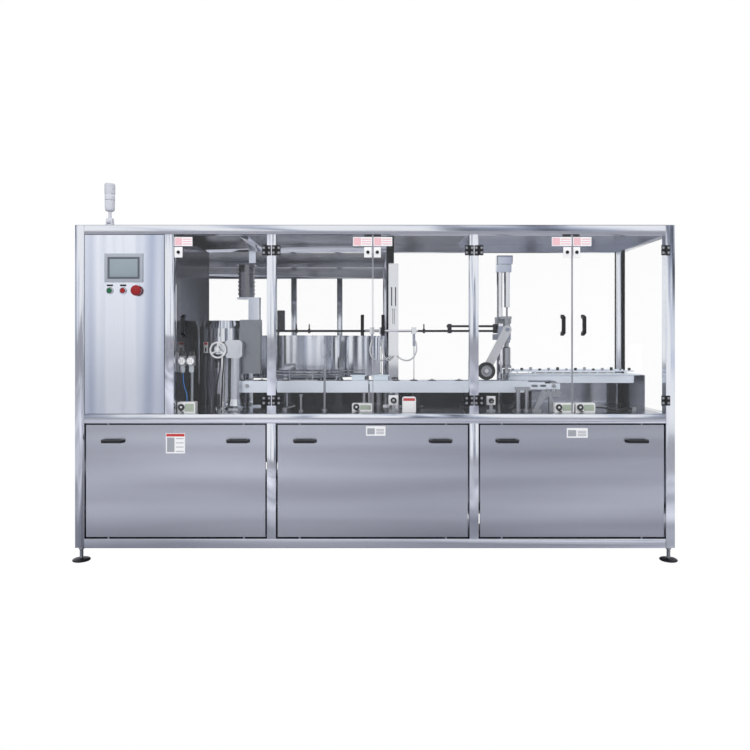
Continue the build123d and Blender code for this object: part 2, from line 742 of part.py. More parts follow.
def hinge_pair(pin_x, side, middle_z):
    """The fixed leaf with its pin, and the door's leaf that turns on it."""
    pin_y = FRONT_Y - PIN_PROUD
    bottom = middle_z - HINGE_RISE / 2
    second = bottom + KNUCKLE_RISE + FIT
    third = second + KNUCKLE_RISE + FIT
    fixed = leaf(pin_x, pin_y, -side, bottom, (bottom, third))
    fixed += rod((pin_x, pin_y, bottom), (0, 0, 1), HINGE_PIN, HINGE_RISE)
    moving = leaf(pin_x, pin_y, side, bottom, (second,))
    moving -= hole((pin_x, pin_y, bottom), (0, 0, 1), HINGE_PIN + 2 * FIT, HINGE_RISE)
    return fixed, moving


def pull_handle(x, face_y, z, length, reach, bar, upright):
    """An arched bar of flat section with sloping ends, standing off a front face."""
    half = length / 2
    slope = reach * 0.35
    outside = [(-half - bar / 2, 0), (-half - bar / 2 + slope, -reach),
               (half + bar / 2 - slope, -reach), (half + bar / 2, 0)]
    inside = [(-half + bar / 2, 0), (-half + bar / 2 + slope * 0.6, bar - reach),
              (half - bar / 2 - slope * 0.6, bar - reach), (half - bar / 2, 0)]
    arch = make_face(Polyline(*outside, close=True)) - make_face(Polyline(*inside, close=True))
    handle = extrude(arch, bar / 2, both=True)
    outer_edges = handle.faces().sort_by(Axis.Y)[0].edges()
    handle = chamfer(outer_edges, bar * 0.2)
    if upright:
        handle = Rot(0, 90, 0) * handle
    return Pos(x, face_y, z) * handle


def guard_doors():
    """The five clear doors with their fittings, and every fixed hinge leaf."""
    fixed_leaves = []
    for name, hinge_x, free_x in hinge_xs():
        side = side_of(hinge_x, free_x)
        x0, x1 = sorted((hinge_x, free_x))
        pane = box(x0, x1, FRONT_Y, FRONT_Y + PANE, DECK_TOP + DOOR_GAP,
                   OPEN_TOP_Z - DOOR_GAP)
        pane = chamfer(pane.edges().filter_by(Axis.Z).group_by(Axis.Y)[0], 1.0)
        save(name + "_pane", pane)
        pin_x = hinge_x - side * DOOR_GAP / 2
        fittings = []
        for middle_z in hinge_zs():
            fixed, moving = hinge_pair(pin_x, side, middle_z)
            fixed_leaves.append(fixed)
            fittings.append(moving)
        pull_x = free_x - side * PULL_FROM_EDGE
        fittings.append(pull_handle(pull_x, FRONT_Y, PULL_Z, PULL_LENGTH, PULL_REACH,
                                    PULL_BAR, True))
        key_x = sorted((free_x - side * DOOR_GAP, free_x - side * (DOOR_GAP + KEY_WIDTH)))
        key_top = OPEN_TOP_Z - HALF - KEY_RISE
        fittings.append(box(*key_x, FRONT_Y + PANE, FRONT_Y + PANE + KEY_DEPTH,
                            key_top - KEY_RISE, key_top))
        save(name + "_fittings", *fittings)
    save("door_hardware", *fixed_leaves, *door_switches())


def door_switches():
    """A switch under the top rail for the key of each guard door."""
    pieces = []
    for _, hinge_x, free_x in hinge_xs():
        side = side_of(hinge_x, free_x)
        x = sorted((free_x - side * DOOR_GAP, free_x - side * (DOOR_GAP + KEY_WIDTH)))
        front = FRONT_Y + PANE + DOOR_GAP
        body = box(*x, front, front + SWITCH_DEPTH, OPEN_TOP_Z - SWITCH_RISE, OPEN_TOP_Z)
        pieces.append(chamfer(body.edges().filter_by(Axis.Z), 3.0))
    return pieces


# Base panels: folded trays that stand on studs and are held by catches above

PANEL_BOTTOM_Z = FOOT_HEIGHT + TUBE + PANEL_GAP
PANEL_TOP_Z = BASE_TOP_Z - PANEL_GAP
PANEL_FACE_Y = FRONT_Y + PANEL_INSET
LUG_FROM_END = 120.0


def panel_spans():
    edges = [LEFT_X, BAY_POST_1_X, BAY_POST_2_X, RIGHT_X]
    inset = HALF + PANEL_GAP
    return [(a + inset, b - inset) for a, b in zip(edges, edges[1:])]


def base_panels():
    """The three trays, their handles, and every stud and pivot pin in the frame."""
    lug_y = PANEL_FACE_Y + PANEL_DEPTH / 2
    reach = DOOR_GAP + DOOR_SHEET + PIVOT_BLOCK_RISE - 1
    lugs = [
        rod((PIVOT_X, PIVOT_Y, DECK_TOP), (0, 0, 1), PIVOT_PIN, reach),
        rod((PIVOT_X, PIVOT_Y, OPEN_TOP_Z), (0, 0, -1), PIVOT_PIN, reach),
    ]
    for number, (x0, x1) in enumerate(panel_spans(), start=1):
        save("base_panel_%d" % number,
             tray(x0, x1, PANEL_FACE_Y, PANEL_DEPTH, PANEL_BOTTOM_Z, PANEL_TOP_Z,
                  PANEL_SHEET))
        save("base_handles_%d" % number, *[
            pull_handle(x, PANEL_FACE_Y, GRIP_Z, GRIP_LENGTH, GRIP_REACH, GRIP_BAR, False)
            for x in (x0 + GRIP_FROM_EDGE, x1 - GRIP_FROM_EDGE)
        ])
        for x in (x0 + LUG_FROM_END, x1 - LUG_FROM_END):
            lugs.append(rod((x, lug_y, FOOT_HEIGHT + TUBE), (0, 0, 1), LUG, PANEL_GAP))
            lugs.append(rod((x, lug_y, BASE_TOP_Z), (0, 0, -1), LUG, PANEL_GAP - FIT))
    save("frame_pins", *lugs)


# Signal lamp: a foot with two cheeks, and the lamp that folds between them

LAMP_FOOT_RISE = 5.0
CHEEK = 6.0
LAMP_PIN = 8.0
LAMP_BASE_Z = FRAME_TOP + SHEET
LAMP_PIVOT_Z = LAMP_BASE_Z + LAMP_FOOT_RISE + KNUCKLE / 2 + 2
LAMP_BODY_Z = LAMP_PIVOT_Z + LAMP_STEM_HEIGHT + 10.0


def lamp_foot():
    foot_half = KNUCKLE_WIDTH / 2 + CHEEK
    foot = rod((LAMP_X, FRONT_ROW, LAMP_BASE_Z), (0, 0, 1), 2 * foot_half + 14, LAMP_FOOT_RISE)
    for side in (-1, 1):
        start = LAMP_X + side * KNUCKLE_WIDTH / 2
        disc = rod((start, FRONT_ROW, LAMP_PIVOT_Z), (side, 0, 0), KNUCKLE, CHEEK)
        x0, x1 = sorted((start, start + side * CHEEK))
        web = box(x0, x1, FRONT_ROW - KNUCKLE / 2, FRONT_ROW + KNUCKLE / 2,
                  LAMP_BASE_Z + LAMP_FOOT_RISE, LAMP_PIVOT_Z)
        foot += disc + web
    pin_start = (LAMP_X - foot_half - 1, FRONT_ROW, LAMP_PIVOT_Z)
    foot += rod(pin_start, (1, 0, 0), LAMP_PIN, 2 * foot_half + 2)
    save("lamp_foot", foot)


def tower_lamp():
    """The eye and stem, the tapered lower body and the domed lens."""
    width = KNUCKLE_WIDTH - 2 * FIT
    eye = rod((LAMP_X - width / 2, FRONT_ROW, LAMP_PIVOT_Z), (1, 0, 0), KNUCKLE - 4, width)
    stem = rod((LAMP_X, FRONT_ROW, LAMP_PIVOT_Z), (0, 0, 1), LAMP_STEM,
               LAMP_BODY_Z - LAMP_PIVOT_Z + 2)
    radius = LAMP_DIAMETER / 2
    lower_top = LAMP_HEIGHT * 0.38
    lower = turned(
        [(0, 0), (radius * 0.72, 0), (radius * 0.86, 4), (radius - 1, lower_top - 2),
         (radius - 1, lower_top), (0, lower_top)],
        LAMP_X, FRONT_ROW, LAMP_BODY_Z, sides=16,
    )
    bore = hole((LAMP_X - width, FRONT_ROW, LAMP_PIVOT_Z), (1, 0, 0), LAMP_PIN + 2 * FIT,
               2 * width)
    lens = turned(
        [(0, lower_top), (radius, lower_top), (radius, LAMP_HEIGHT - 12),
         (radius - 3, LAMP_HEIGHT - 5), (radius - 10, LAMP_HEIGHT), (0, LAMP_HEIGHT)],
        LAMP_X, FRONT_ROW, LAMP_BODY_Z, sides=16,
    )
    save("tower_lamp", eye + stem + lower - bore, lens)


# Bottle drum: a rolled wall on a ring, legs, a gear unit and the turning table

DRUM_Y = at(DRUM_DEPTH)
DRUM_RING_SHEET = 6.0
DRUM_BEAD = 5.0
DRUM_LEGS = 6
TABLE_LIFT = 2.0
TABLE_BOTTOM_Z = DRUM_FLOOR_Z + TABLE_LIFT
TABLE_HUB = 160.0
TABLE_CONE_RISE = 46.0
GEAR_BODY = 160.0
GEAR_TOP_Z = 940.0
SHAFT_BOTTOM_Z = 890.0
CHUTE_LEFT_X = -600.0
CHUTE_RIGHT_X = -520.0
CHUTE_RISE = 45.0


def drum_wall():
    """The rolled wall with its top bead, cut open at the front where bottles leave."""
    height = DRUM_TOP_Z - DRUM_FLOOR_Z
    outer, inner = 2 * DRUM_RADIUS, 2 * (DRUM_RADIUS - DRUM_SHEET)
    base = (DRUM_X, DRUM_Y, DRUM_FLOOR_Z)
    wall = ring(base, (0, 0, 1), outer, inner, height)
    bead_z = DRUM_TOP_Z - 2 * DRUM_BEAD
    wall += ring((DRUM_X, DRUM_Y, bead_z), (0, 0, 1), outer + 2 * DRUM_BEAD, inner,
                 2 * DRUM_BEAD)
    wall -= box(CHUTE_LEFT_X, CHUTE_RIGHT_X, DRUM_Y - DRUM_RADIUS - 10, DRUM_Y,
                DRUM_FLOOR_Z, DRUM_FLOOR_Z + 2 * CHUTE_RISE)
    save("drum_wall", wall)


def drum_stand():
    """The ring under the wall, its legs, the gear unit and the exit chute."""
    ring_z = DRUM_FLOOR_Z - DRUM_RING_SHEET
    flange = ring((DRUM_X, DRUM_Y, ring_z), (0, 0, 1), 2 * (DRUM_RADIUS + DRUM_BEAD),
                  2 * (DRUM_RADIUS - DRUM_RING), DRUM_RING_SHEET)
    pieces = [flange]
    leg_radius = DRUM_RADIUS - DRUM_RING / 2
    for index in range(DRUM_LEGS):
        angle = radians(30 + 360 * index / DRUM_LEGS)
        x, y = DRUM_X + leg_radius * cos(angle), DRUM_Y + leg_radius * sin(angle)
        leg = tube("z", DECK_TOP + SHEET, ring_z, x, y, DRUM_LEG)
        half = DRUM_LEG
        leg += box(x - half, x + half, y - half, y + half, DECK_TOP, DECK_TOP + SHEET)
        pieces.append(leg)
    half = GEAR_BODY / 2
    gear = box(DRUM_X - half, DRUM_X + half, DRUM_Y - half, DRUM_Y + half, DECK_TOP,
               GEAR_TOP_Z)
    gear = chamfer(gear.edges().filter_by(Axis.Z), 12.0)
    gear -= hole((DRUM_X, DRUM_Y, SHAFT_BOTTOM_Z - 5), (0, 0, 1), TABLE_SHAFT + 2 * FIT,
                GEAR_TOP_Z - SHAFT_BOTTOM_Z + 5)
    motor = rod((DRUM_X + half, DRUM_Y, DECK_TOP + 70), (1, 0, 0), 120.0, 210.0)
    motor += rod((DRUM_X + half + 210, DRUM_Y, DECK_TOP + 70), (1, 0, 0), 104.0, 45.0)
    pieces += [gear, motor]
    front = at(BELT_FRONT_DEPTH + BELT_WIDTH) + FIT
    rear = DRUM_Y - DRUM_RADIUS - DRUM_BEAD
    side = SHEET
    chute = box(CHUTE_LEFT_X + side, CHUTE_RIGHT_X - side, front, rear,
                DRUM_FLOOR_Z - SHEET, DRUM_FLOOR_Z)
    for x in (CHUTE_LEFT_X + side, CHUTE_RIGHT_X - 2 * side):
        chute += box(x, x + side, front, rear, DRUM_FLOOR_Z - SHEET,
                     DRUM_FLOOR_Z + CHUTE_RISE)
    pieces.append(chute)
    middle = (CHUTE_LEFT_X + CHUTE_RIGHT_X) / 2
    pieces.append(rod((middle, (front + rear) / 2, DECK_TOP), (0, 0, 1), 20.0,
                      DRUM_FLOOR_Z - SHEET - DECK_TOP))
    save("drum_stand", *pieces)


def turntable_disc():
    radius = DRUM_RADIUS - DRUM_SHEET - TABLE_GAP
    top = TABLE_BOTTOM_Z + TABLE_SHEET
    hub = TABLE_HUB / 2
    shaft = TABLE_SHAFT / 2
    profile = [
        (0, SHAFT_BOTTOM_Z), (shaft, SHAFT_BOTTOM_Z), (shaft, GEAR_TOP_Z + TABLE_LIFT),
        (hub, GEAR_TOP_Z + TABLE_LIFT), (hub, TABLE_BOTTOM_Z), (radius, TABLE_BOTTOM_Z),
        (radius, top), (radius * 0.36, top), (hub * 0.6, top + TABLE_CONE_RISE),
        (0, top + TABLE_CONE_RISE),
    ]
    save("turntable_disc", turned(profile, DRUM_X, DRUM_Y))


# Main conveyor: side plates, a slat chain round two rollers, and guide rails

BELT_FRONT_Y = at(BELT_FRONT_DEPTH)
BELT_REAR_Y = BELT_FRONT_Y + BELT_WIDTH
BELT_MIDDLE_Y = (BELT_FRONT_Y + BELT_REAR_Y) / 2
SIDE_BOTTOM_Z = BELT_TOP_Z - SIDE_RISE
SIDE_LIP = 8.0
NOSE_LEFT_X = 915.0
ROLLER_INSET = 36.0
IDLER_X = BELT_LEFT_X + ROLLER_INSET
DRIVE_X = BELT_RIGHT_X - ROLLER_INSET
ROLLER_Z = BELT_TOP_Z - SLAT_THICKNESS - ROLLER / 2
SLAT_GROOVE = SLAT_PITCH - SLAT_LENGTH
BELT_LEGS = (-610.0, -217.0, 250.0, 560.0, 860.0)
LEG_WIDTH = 60.0
LEG_SHEET = 8.0
SPACER = 16.0
STRIP_WIDTH = 14.0
STRIP_RISE = 10.0
STRIP_TOP_Z = BELT_TOP_Z - 2 * SLAT_THICKNESS


def side_plate(x0, x1, outer_y, inward):
    """A side plate with a thin lip folded inwards along its lower edge."""
    y0, y1 = sorted((outer_y, outer_y + inward * SIDE_PLATE))
    plate = box(x0, x1, y0, y1, SIDE_BOTTOM_Z, BELT_TOP_Z)
    y2, y3 = sorted((outer_y, outer_y + inward * (SIDE_PLATE + SIDE_LIP)))
    return plate + box(x0, x1, y2, y3, SIDE_BOTTOM_Z, SIDE_BOTTOM_Z + 3)


def waisted_leg(x):
    """A bracket under the conveyor, narrow in the middle, on its foot flange."""
    z0, z1 = DECK_TOP + LEG_SHEET, SIDE_BOTTOM_Z
    wide, waist = LEG_WIDTH / 2, LEG_WIDTH * 0.3
    rise = z1 - z0
    with BuildPart() as web:
        with BuildSketch(Plane.XZ.offset(-BELT_MIDDLE_Y)):
            with BuildLine():
                Line((x - wide, z1), (x + wide, z1))
                ThreePointArc((x + wide, z1), (x + waist, z0 + rise * 0.55), (x + wide, z0))
                Line((x + wide, z0), (x - wide, z0))
                ThreePointArc((x - wide, z0), (x - waist, z0 + rise * 0.55), (x - wide, z1))
            make_face()
        extrude(amount=BELT_WIDTH / 2 - SIDE_PLATE, both=True)
    foot = box(x - wide - 12, x + wide + 12, BELT_FRONT_Y, BELT_REAR_Y, DECK_TOP, z0)
    return web.part + foot


def conveyor_frame():
    gap = JOINT_GAP / 2
    pieces = [
        side_plate(BELT_LEFT_X, BELT_JOINT_X - gap, BELT_FRONT_Y, 1),
        side_plate(BELT_JOINT_X + gap, NOSE_LEFT_X, BELT_FRONT_Y, 1),
        side_plate(BELT_LEFT_X, BELT_RIGHT_X, BELT_REAR_Y, -1),
    ]
    nose = box(NOSE_LEFT_X, BELT_RIGHT_X, BELT_FRONT_Y + FIT, BELT_FRONT_Y + SIDE_PLATE,
               ROLLER_Z - 22, ROLLER_Z + 14)
    slot_pitch = 50.0
    for index in range(2):
        middle = NOSE_LEFT_X + 40.0 + slot_pitch * index
        nose -= Pos(middle, BELT_FRONT_Y, ROLLER_Z) * Box(34.0, 4 * SIDE_PLATE, 12.0)
    pieces.append(nose)
    bore = ROLLER_SHAFT + 2 * FIT
    drilled = []
    for piece in pieces:
        for x in (IDLER_X, DRIVE_X):
            start = (x, BELT_FRONT_Y - 5, ROLLER_Z)
            piece -= hole(start, (0, 1, 0), bore, BELT_WIDTH + 10)
        drilled.append(piece)
    inner_front, inner_rear = BELT_FRONT_Y + SIDE_PLATE, BELT_REAR_Y - SIDE_PLATE
    for x in (IDLER_X + 120, -330.0, 120.0, 420.0, NOSE_LEFT_X - 60):
        drilled.append(rod((x, inner_front, ROLLER_Z), (0, 1, 0), SPACER,
                           inner_rear - inner_front))
    for y in (inner_front, inner_rear - STRIP_WIDTH):
        drilled.append(box(IDLER_X + ROLLER, DRIVE_X - ROLLER, y, y + STRIP_WIDTH,
                           STRIP_TOP_Z - STRIP_RISE, STRIP_TOP_Z))
    drilled += [waisted_leg(x) for x in BELT_LEGS]
    save("conveyor_frame", *drilled)


def slat_run(x0, x1, z_outer, upward):
    """A straight run of slats; the upper one is grooved where two slats meet."""
    z0, z1 = sorted((z_outer, z_outer - upward * SLAT_THICKNESS))
    groove_count = int((x1 - x0) // SLAT_PITCH) if upward > 0 else 0
    half = SLAT_WIDTH / 2
    run = box(x0, x1, BELT_MIDDLE_Y - half, BELT_MIDDLE_Y + half, z0, z1)
    first = (x0 + x1) / 2 - (groove_count - 1) * SLAT_PITCH / 2
    groove = Box(SLAT_GROOVE, 2 * SLAT_WIDTH, SLAT_THICKNESS)
    cuts = [Pos(first + i * SLAT_PITCH, BELT_MIDDLE_Y, z_outer) * groove
            for i in range(groove_count)]
    return run - cuts if cuts else run


def slat_chain():
    """Both straight runs, and the half rings of slats round the two end rollers."""
    outer = ROLLER + 2 * SLAT_THICKNESS
    half = SLAT_WIDTH / 2
    pieces = [
        slat_run(IDLER_X, DRIVE_X, ROLLER_Z + outer / 2, 1),
        slat_run(IDLER_X, DRIVE_X, ROLLER_Z - outer / 2, -1),
    ]
    for x, side in ((IDLER_X, -1), (DRIVE_X, 1)):
        start = (x, BELT_MIDDLE_Y - half, ROLLER_Z)
        turn = rod(start, (0, 1, 0), outer, SLAT_WIDTH)
        turn -= hole(start, (0, 1, 0), ROLLER + 2 * FIT, SLAT_WIDTH)
        x0, x1 = sorted((x, x + side * outer))
        turn &= box(x0, x1, BELT_MIDDLE_Y - half, BELT_MIDDLE_Y + half, ROLLER_Z - outer,
                    ROLLER_Z + outer)
        pieces.append(turn)
    save("slat_chain", *pieces)


def conveyor_roller(name, x):
    """A roller with two shallow tooth wheels at its ends, on one shaft."""
    length = SLAT_WIDTH - 8
    start = (x, BELT_MIDDLE_Y - length / 2, ROLLER_Z)
    body = rod(start, (0, 1, 0), ROLLER - 12, length)
    for y in (BELT_MIDDLE_Y - length / 2, BELT_MIDDLE_Y + length / 2 - 10):
        body += rod((x, y, ROLLER_Z), (0, 1, 0), ROLLER - 1, 10.0)
    shaft_end = 12.0
    shaft = rod((x, BELT_FRONT_Y - shaft_end, ROLLER_Z), (0, 1, 0), ROLLER_SHAFT,
                BELT_WIDTH + 2 * shaft_end)
    save(name, body + shaft)


RAIL_BAR = 8.0
RAIL_FRONT_LEFT_X = TIE_LEFT_X
RAIL_FRONT_RIGHT_X = -215.0
RAIL_REAR_RIGHT_X = -60.0
RAIL_ZS = (1012.0, 1032.0)
RAIL_POST = 10.0
RAIL_POST_GAP = 190.0


def guide_rails():
    """Round guide bars over the belt, on posts that stand on the side plates."""
    pieces = []
    front_y = BELT_FRONT_Y + SIDE_PLATE / 2
    rear_y = BELT_REAR_Y - SIDE_PLATE / 2
    runs = (
        (front_y, 1, RAIL_FRONT_LEFT_X, RAIL_FRONT_RIGHT_X),
        (rear_y, -1, BELT_LEFT_X + 150, RAIL_REAR_RIGHT_X),
    )
    for y, inward, x0, x1 in runs:
        bar_y = y + inward * (RAIL_POST + RAIL_BAR) / 2 * cos(pi / 6)
        for z in RAIL_ZS:
            bar = rod((x0, bar_y, z), (1, 0, 0), RAIL_BAR, x1 - x0)
            bar += rod((x1 - 24, bar_y, z), (1, 0, 0), RAIL_BAR + 4, 24.0)
            pieces.append(bar)
        count = int((x1 - x0) // RAIL_POST_GAP)
        step = (x1 - x0) / (count + 1)
        for index in range(count):
            x = x0 + step * (index + 0.8)
            height = RAIL_ZS[-1] + RAIL_BAR - BELT_TOP_Z
            pieces.append(rod((x, y, BELT_TOP_Z), (0, 0, 1), RAIL_POST, height))
    save("guide_rails", *pieces)


# Outfeed table at the right end, higher than the belt and behind it

OUT_FRONT_Y = at(OUT_FRONT_DEPTH)
OUT_REAR_Y = at(OUT_REAR_DEPTH)
OUT_TOP_SHEET = 5.0
OUT_TOP_RIGHT_X = RIGHT_X + HALF - PANE - SHEET - 2 * FIT
OUT_LEG = 40.0
FENCE_BAR = 8.0
FENCE_RISE = 22.0
FENCE_POSTS = 7


def outfeed_table():
    plate_z = OUT_TOP_Z - OUT_TOP_SHEET
    side_z = plate_z - OUT_SIDE_RISE
    top = box(OUT_LEFT_X - 10, OUT_TOP_RIGHT_X, OUT_FRONT_Y, OUT_REAR_Y, plate_z, OUT_TOP_Z)
    pieces = [top]
    inset = 8.0
    for y in (OUT_FRONT_Y + inset, OUT_REAR_Y - inset - SIDE_PLATE):
        pieces.append(box(OUT_LEFT_X, OUT_RIGHT_X, y, y + SIDE_PLATE, side_z, plate_z))
    y0 = OUT_FRONT_Y + inset + SIDE_PLATE
    y1 = OUT_REAR_Y - inset - SIDE_PLATE
    middle_y = (OUT_FRONT_Y + OUT_REAR_Y) / 2
    for x in (OUT_LEFT_X + 110, OUT_RIGHT_X - 110):
        pieces.append(box(x - OUT_LEG, x + OUT_LEG, y0, y1, plate_z - OUT_LEG, plate_z))
        leg_top = plate_z - OUT_LEG
        leg = tube("z", DECK_TOP + SHEET, leg_top, x, middle_y, OUT_LEG)
        leg += box(x - OUT_LEG, x + OUT_LEG, middle_y - OUT_LEG, middle_y + OUT_LEG,
                   DECK_TOP, DECK_TOP + SHEET)
        pieces.append(leg)
    fence_z = OUT_TOP_Z + FENCE_RISE
    length = OUT_RIGHT_X - OUT_LEFT_X
    for y in (OUT_FRONT_Y + 12, OUT_REAR_Y - 12):
        pieces.append(rod((OUT_LEFT_X, y, fence_z), (1, 0, 0), FENCE_BAR, length))
        for index in range(FENCE_POSTS):
            x = OUT_LEFT_X + length * (index + 0.5) / FENCE_POSTS
            pieces.append(rod((x, y, OUT_TOP_Z), (0, 0, 1), FENCE_BAR,
                              FENCE_RISE - FENCE_BAR / 2))
    save("outfeed_table", *pieces)


# Filling station: a column with a lifting needle bar, and the long tie bars

FILL_Y = at(FILL_DEPTH)
FLANGE = 10.0
TIE_Y = FILL_Y + FILL_COLUMN / 2 + TIE_BAR / 2 + 4
TIE_ROD = 25.0
SLIDE_WIDTH = 20.0
SLIDE_DEPTH = 10.0
SLIDE_BOTTOM_Z = 1190.0
SLIDE_TOP_Z = 1400.0
CARRIAGE_RISE = 80.0
CARRIAGE_Z = 1236.0
CYLINDER = 34.0
CYLINDER_ROD = 12.0
CYLINDER_BOTTOM_Z = 1410.0
CYLINDER_TOP_Z = 1560.0
MANIFOLD_Z = 1100.0
MANIFOLD_RISE = 40.0
PORT = 9.0
PORT_REACH = 10.0
PORT_XS = (FILL_X - 20, FILL_X, FILL_X + 20)
FILL_TUBE = 9.0
SPIGOT_Z = 1222.0
SPIGOT_REACH = 22.0
NOZZLE_BAR_LEFT_X = -60.0
NOZZLE_BAR_RIGHT_X = 262.0
NOZZLE_Y = BELT_MIDDLE_Y + 18.0
COLUMN_FRONT_Y = FILL_Y - FILL_COLUMN / 2


def fill_column():
    half = FILL_COLUMN / 2
    column = tube("z", DECK_TOP + FLANGE, FILL_TOP_Z, FILL_X, FILL_Y, FILL_COLUMN, 3.0)
    column += box(FILL_X - half, FILL_X + half, FILL_Y - half, FILL_Y + half,
                  FILL_TOP_Z - 3, FILL_TOP_Z)
    column += box(FILL_X - 65, FILL_X + 65, COLUMN_FRONT_Y, FILL_Y + 65, DECK_TOP,
                  DECK_TOP + FLANGE)
    slide = box(FILL_X - SLIDE_WIDTH / 2, FILL_X + SLIDE_WIDTH / 2,
                COLUMN_FRONT_Y - SLIDE_DEPTH, COLUMN_FRONT_Y, SLIDE_BOTTOM_Z, SLIDE_TOP_Z)
    cylinder_y = COLUMN_FRONT_Y - CYLINDER / 2
    cylinder = rod((FILL_X, cylinder_y, CYLINDER_BOTTOM_Z), (0, 0, 1), CYLINDER,
                   CYLINDER_TOP_Z - CYLINDER_BOTTOM_Z)
    for z in (CYLINDER_BOTTOM_Z, CYLINDER_TOP_Z - 18):
        cylinder += box(FILL_X - CYLINDER / 2 - 2, FILL_X + CYLINDER / 2 + 2,
                        cylinder_y - CYLINDER / 2 - 2, COLUMN_FRONT_Y, z, z + 18)
    cylinder -= hole((FILL_X, cylinder_y, CYLINDER_BOTTOM_Z), (0, 0, 1),
                    CYLINDER_ROD + 2 * FIT, CYLINDER_TOP_Z - CYLINDER_BOTTOM_Z - 10)
    manifold = box(FILL_X - 32, FILL_X + 32, COLUMN_FRONT_Y - 26, COLUMN_FRONT_Y,
                   MANIFOLD_Z, MANIFOLD_Z + MANIFOLD_RISE)
    pieces = [column, slide, cylinder, manifold]
    for x in PORT_XS:
        pieces.append(rod((x, COLUMN_FRONT_Y - 26, MANIFOLD_Z + MANIFOLD_RISE / 2),
                          (0, -1, 0), PORT, PORT_REACH))
    clamp_y0 = FILL_Y + half
    clamp = box(FILL_X - 22, FILL_X + 22, clamp_y0, TIE_Y + TIE_BAR / 2 + 8, TIE_Z - 22,
                TIE_Z + 22)
    clamp -= rod((FILL_X - 30, TIE_Y, TIE_Z), (1, 0, 0), TIE_BAR, 60.0)
    pieces.append(clamp)
    save("fill_column", *pieces)


def tie_bars():
    """The long bar, its left upright, the short upper bar and their clamps."""
    right = CAP_COLUMN_X - CAP_COLUMN / 2 - 12
    long_bar = rod((TIE_LEFT_X - 20, TIE_Y, TIE_Z), (1, 0, 0), TIE_BAR,
                   right - TIE_LEFT_X + 20)
    short_bar = rod((TIE_2_LEFT_X, TIE_Y, TIE_2_Z), (1, 0, 0), TIE_BAR,
                    right - TIE_2_LEFT_X)
    upright_y = TIE_Y + TIE_BAR / 2 + TIE_ROD / 2
    upright = rod((TIE_LEFT_X, upright_y, DECK_TOP), (0, 0, 1), TIE_ROD,
                  TIE_Z + 40 - DECK_TOP)
    upright += rod((TIE_LEFT_X, upright_y, DECK_TOP), (0, 0, 1), 2.6 * TIE_ROD, FLANGE)
    block = box(TIE_LEFT_X + 6, TIE_LEFT_X + 52, TIE_Y - 34, TIE_Y + 14, TIE_Z + 5,
                TIE_Z + 128)
    block = chamfer(block.edges().filter_by(Axis.Z), 5.0)
    bars = [long_bar, short_bar]
    link = box(TIE_2_LEFT_X + 6, TIE_2_LEFT_X + 30, TIE_Y - 14, TIE_Y + 14, TIE_Z - 14,
               TIE_2_Z + 14)
    cheek = box(TIE_LEFT_X - 16, TIE_LEFT_X + 16, TIE_Y - 14, upright_y, TIE_Z - 16,
                TIE_Z + 4)
    cheek -= upright
    end = box(right - 10, right + 12.0 - FIT, TIE_Y - 14, TIE_Y + 14, TIE_Z - 14,
              TIE_2_Z + 14)
    clamps = [link, cheek, end, block]
    clamps = [clamp - bars for clamp in clamps]
    for x in (-500.0, -420.0, 300.0):
        collar = ring((x, TIE_Y, TIE_Z), (1, 0, 0), TIE_BAR + 14, TIE_BAR, 14.0)
        collar += rod((x + 7, TIE_Y, TIE_Z + TIE_BAR / 2 + 6), (0, 0, 1), 8.0, 30.0)
        clamps.append(collar)
    save("tie_bars", *bars, upright, *clamps)


def nozzle_bar():
    """The carriage on the slide, the bar it carries, and the needles in clamps."""
    gap = FIT
    front = COLUMN_FRONT_Y - SLIDE_DEPTH
    carriage = box(FILL_X - 30, FILL_X + 30, front - 16, COLUMN_FRONT_Y - 2, CARRIAGE_Z,
                   CARRIAGE_Z + CARRIAGE_RISE)
    carriage -= box(FILL_X - SLIDE_WIDTH / 2 - gap, FILL_X + SLIDE_WIDTH / 2 + gap,
                    front - gap, COLUMN_FRONT_Y, CARRIAGE_Z, CARRIAGE_Z + CARRIAGE_RISE)
    rod_y = COLUMN_FRONT_Y - CYLINDER / 2
    piston_rod = rod((FILL_X, rod_y, CARRIAGE_Z + CARRIAGE_RISE), (0, 0, 1), CYLINDER_ROD,
                     CYLINDER_TOP_Z - NOZZLE_TRAVEL - 15 - CARRIAGE_Z - CARRIAGE_RISE)
    head = box(FILL_X - 20, FILL_X + 20, rod_y - 10, front - gap, CARRIAGE_Z
               + CARRIAGE_RISE - 12, CARRIAGE_Z + CARRIAGE_RISE)
    arm = box(FILL_X - 16, FILL_X + 16, NOZZLE_Y, front - 16, TIE_Z - 14, TIE_Z + 14)
    bar = rod((NOZZLE_BAR_LEFT_X, NOZZLE_Y, TIE_Z), (1, 0, 0), TIE_BAR,
              NOZZLE_BAR_RIGHT_X - NOZZLE_BAR_LEFT_X)
    body = carriage + head + piston_rod + arm + bar
    pieces = [body]
    for x in NEEDLE_XS:
        clamp = box(x - 14, x + 14, BELT_MIDDLE_Y - 12, NOZZLE_Y + 14, TIE_Z - 20,
                    TIE_Z + 20)
        clamp -= rod((x - 20, NOZZLE_Y, TIE_Z), (1, 0, 0), TIE_BAR, 40.0)
        holder = rod((x, BELT_MIDDLE_Y, TIE_Z - 94), (0, 0, 1), 16.0, 74.0)
        needle = rod((x, BELT_MIDDLE_Y, NEEDLE_TIP_Z), (0, 0, 1), NEEDLE,
                     TIE_Z - 94 - NEEDLE_TIP_Z)
        spigot = rod((x, BELT_MIDDLE_Y, SPIGOT_Z), (0, -1, 0), FILL_TUBE, SPIGOT_REACH)
        pieces.append(clamp + holder + needle + spigot)
    save("nozzle_bar", *pieces)


# Capping station: a round column, a lifting head with its chuck, a press wheel

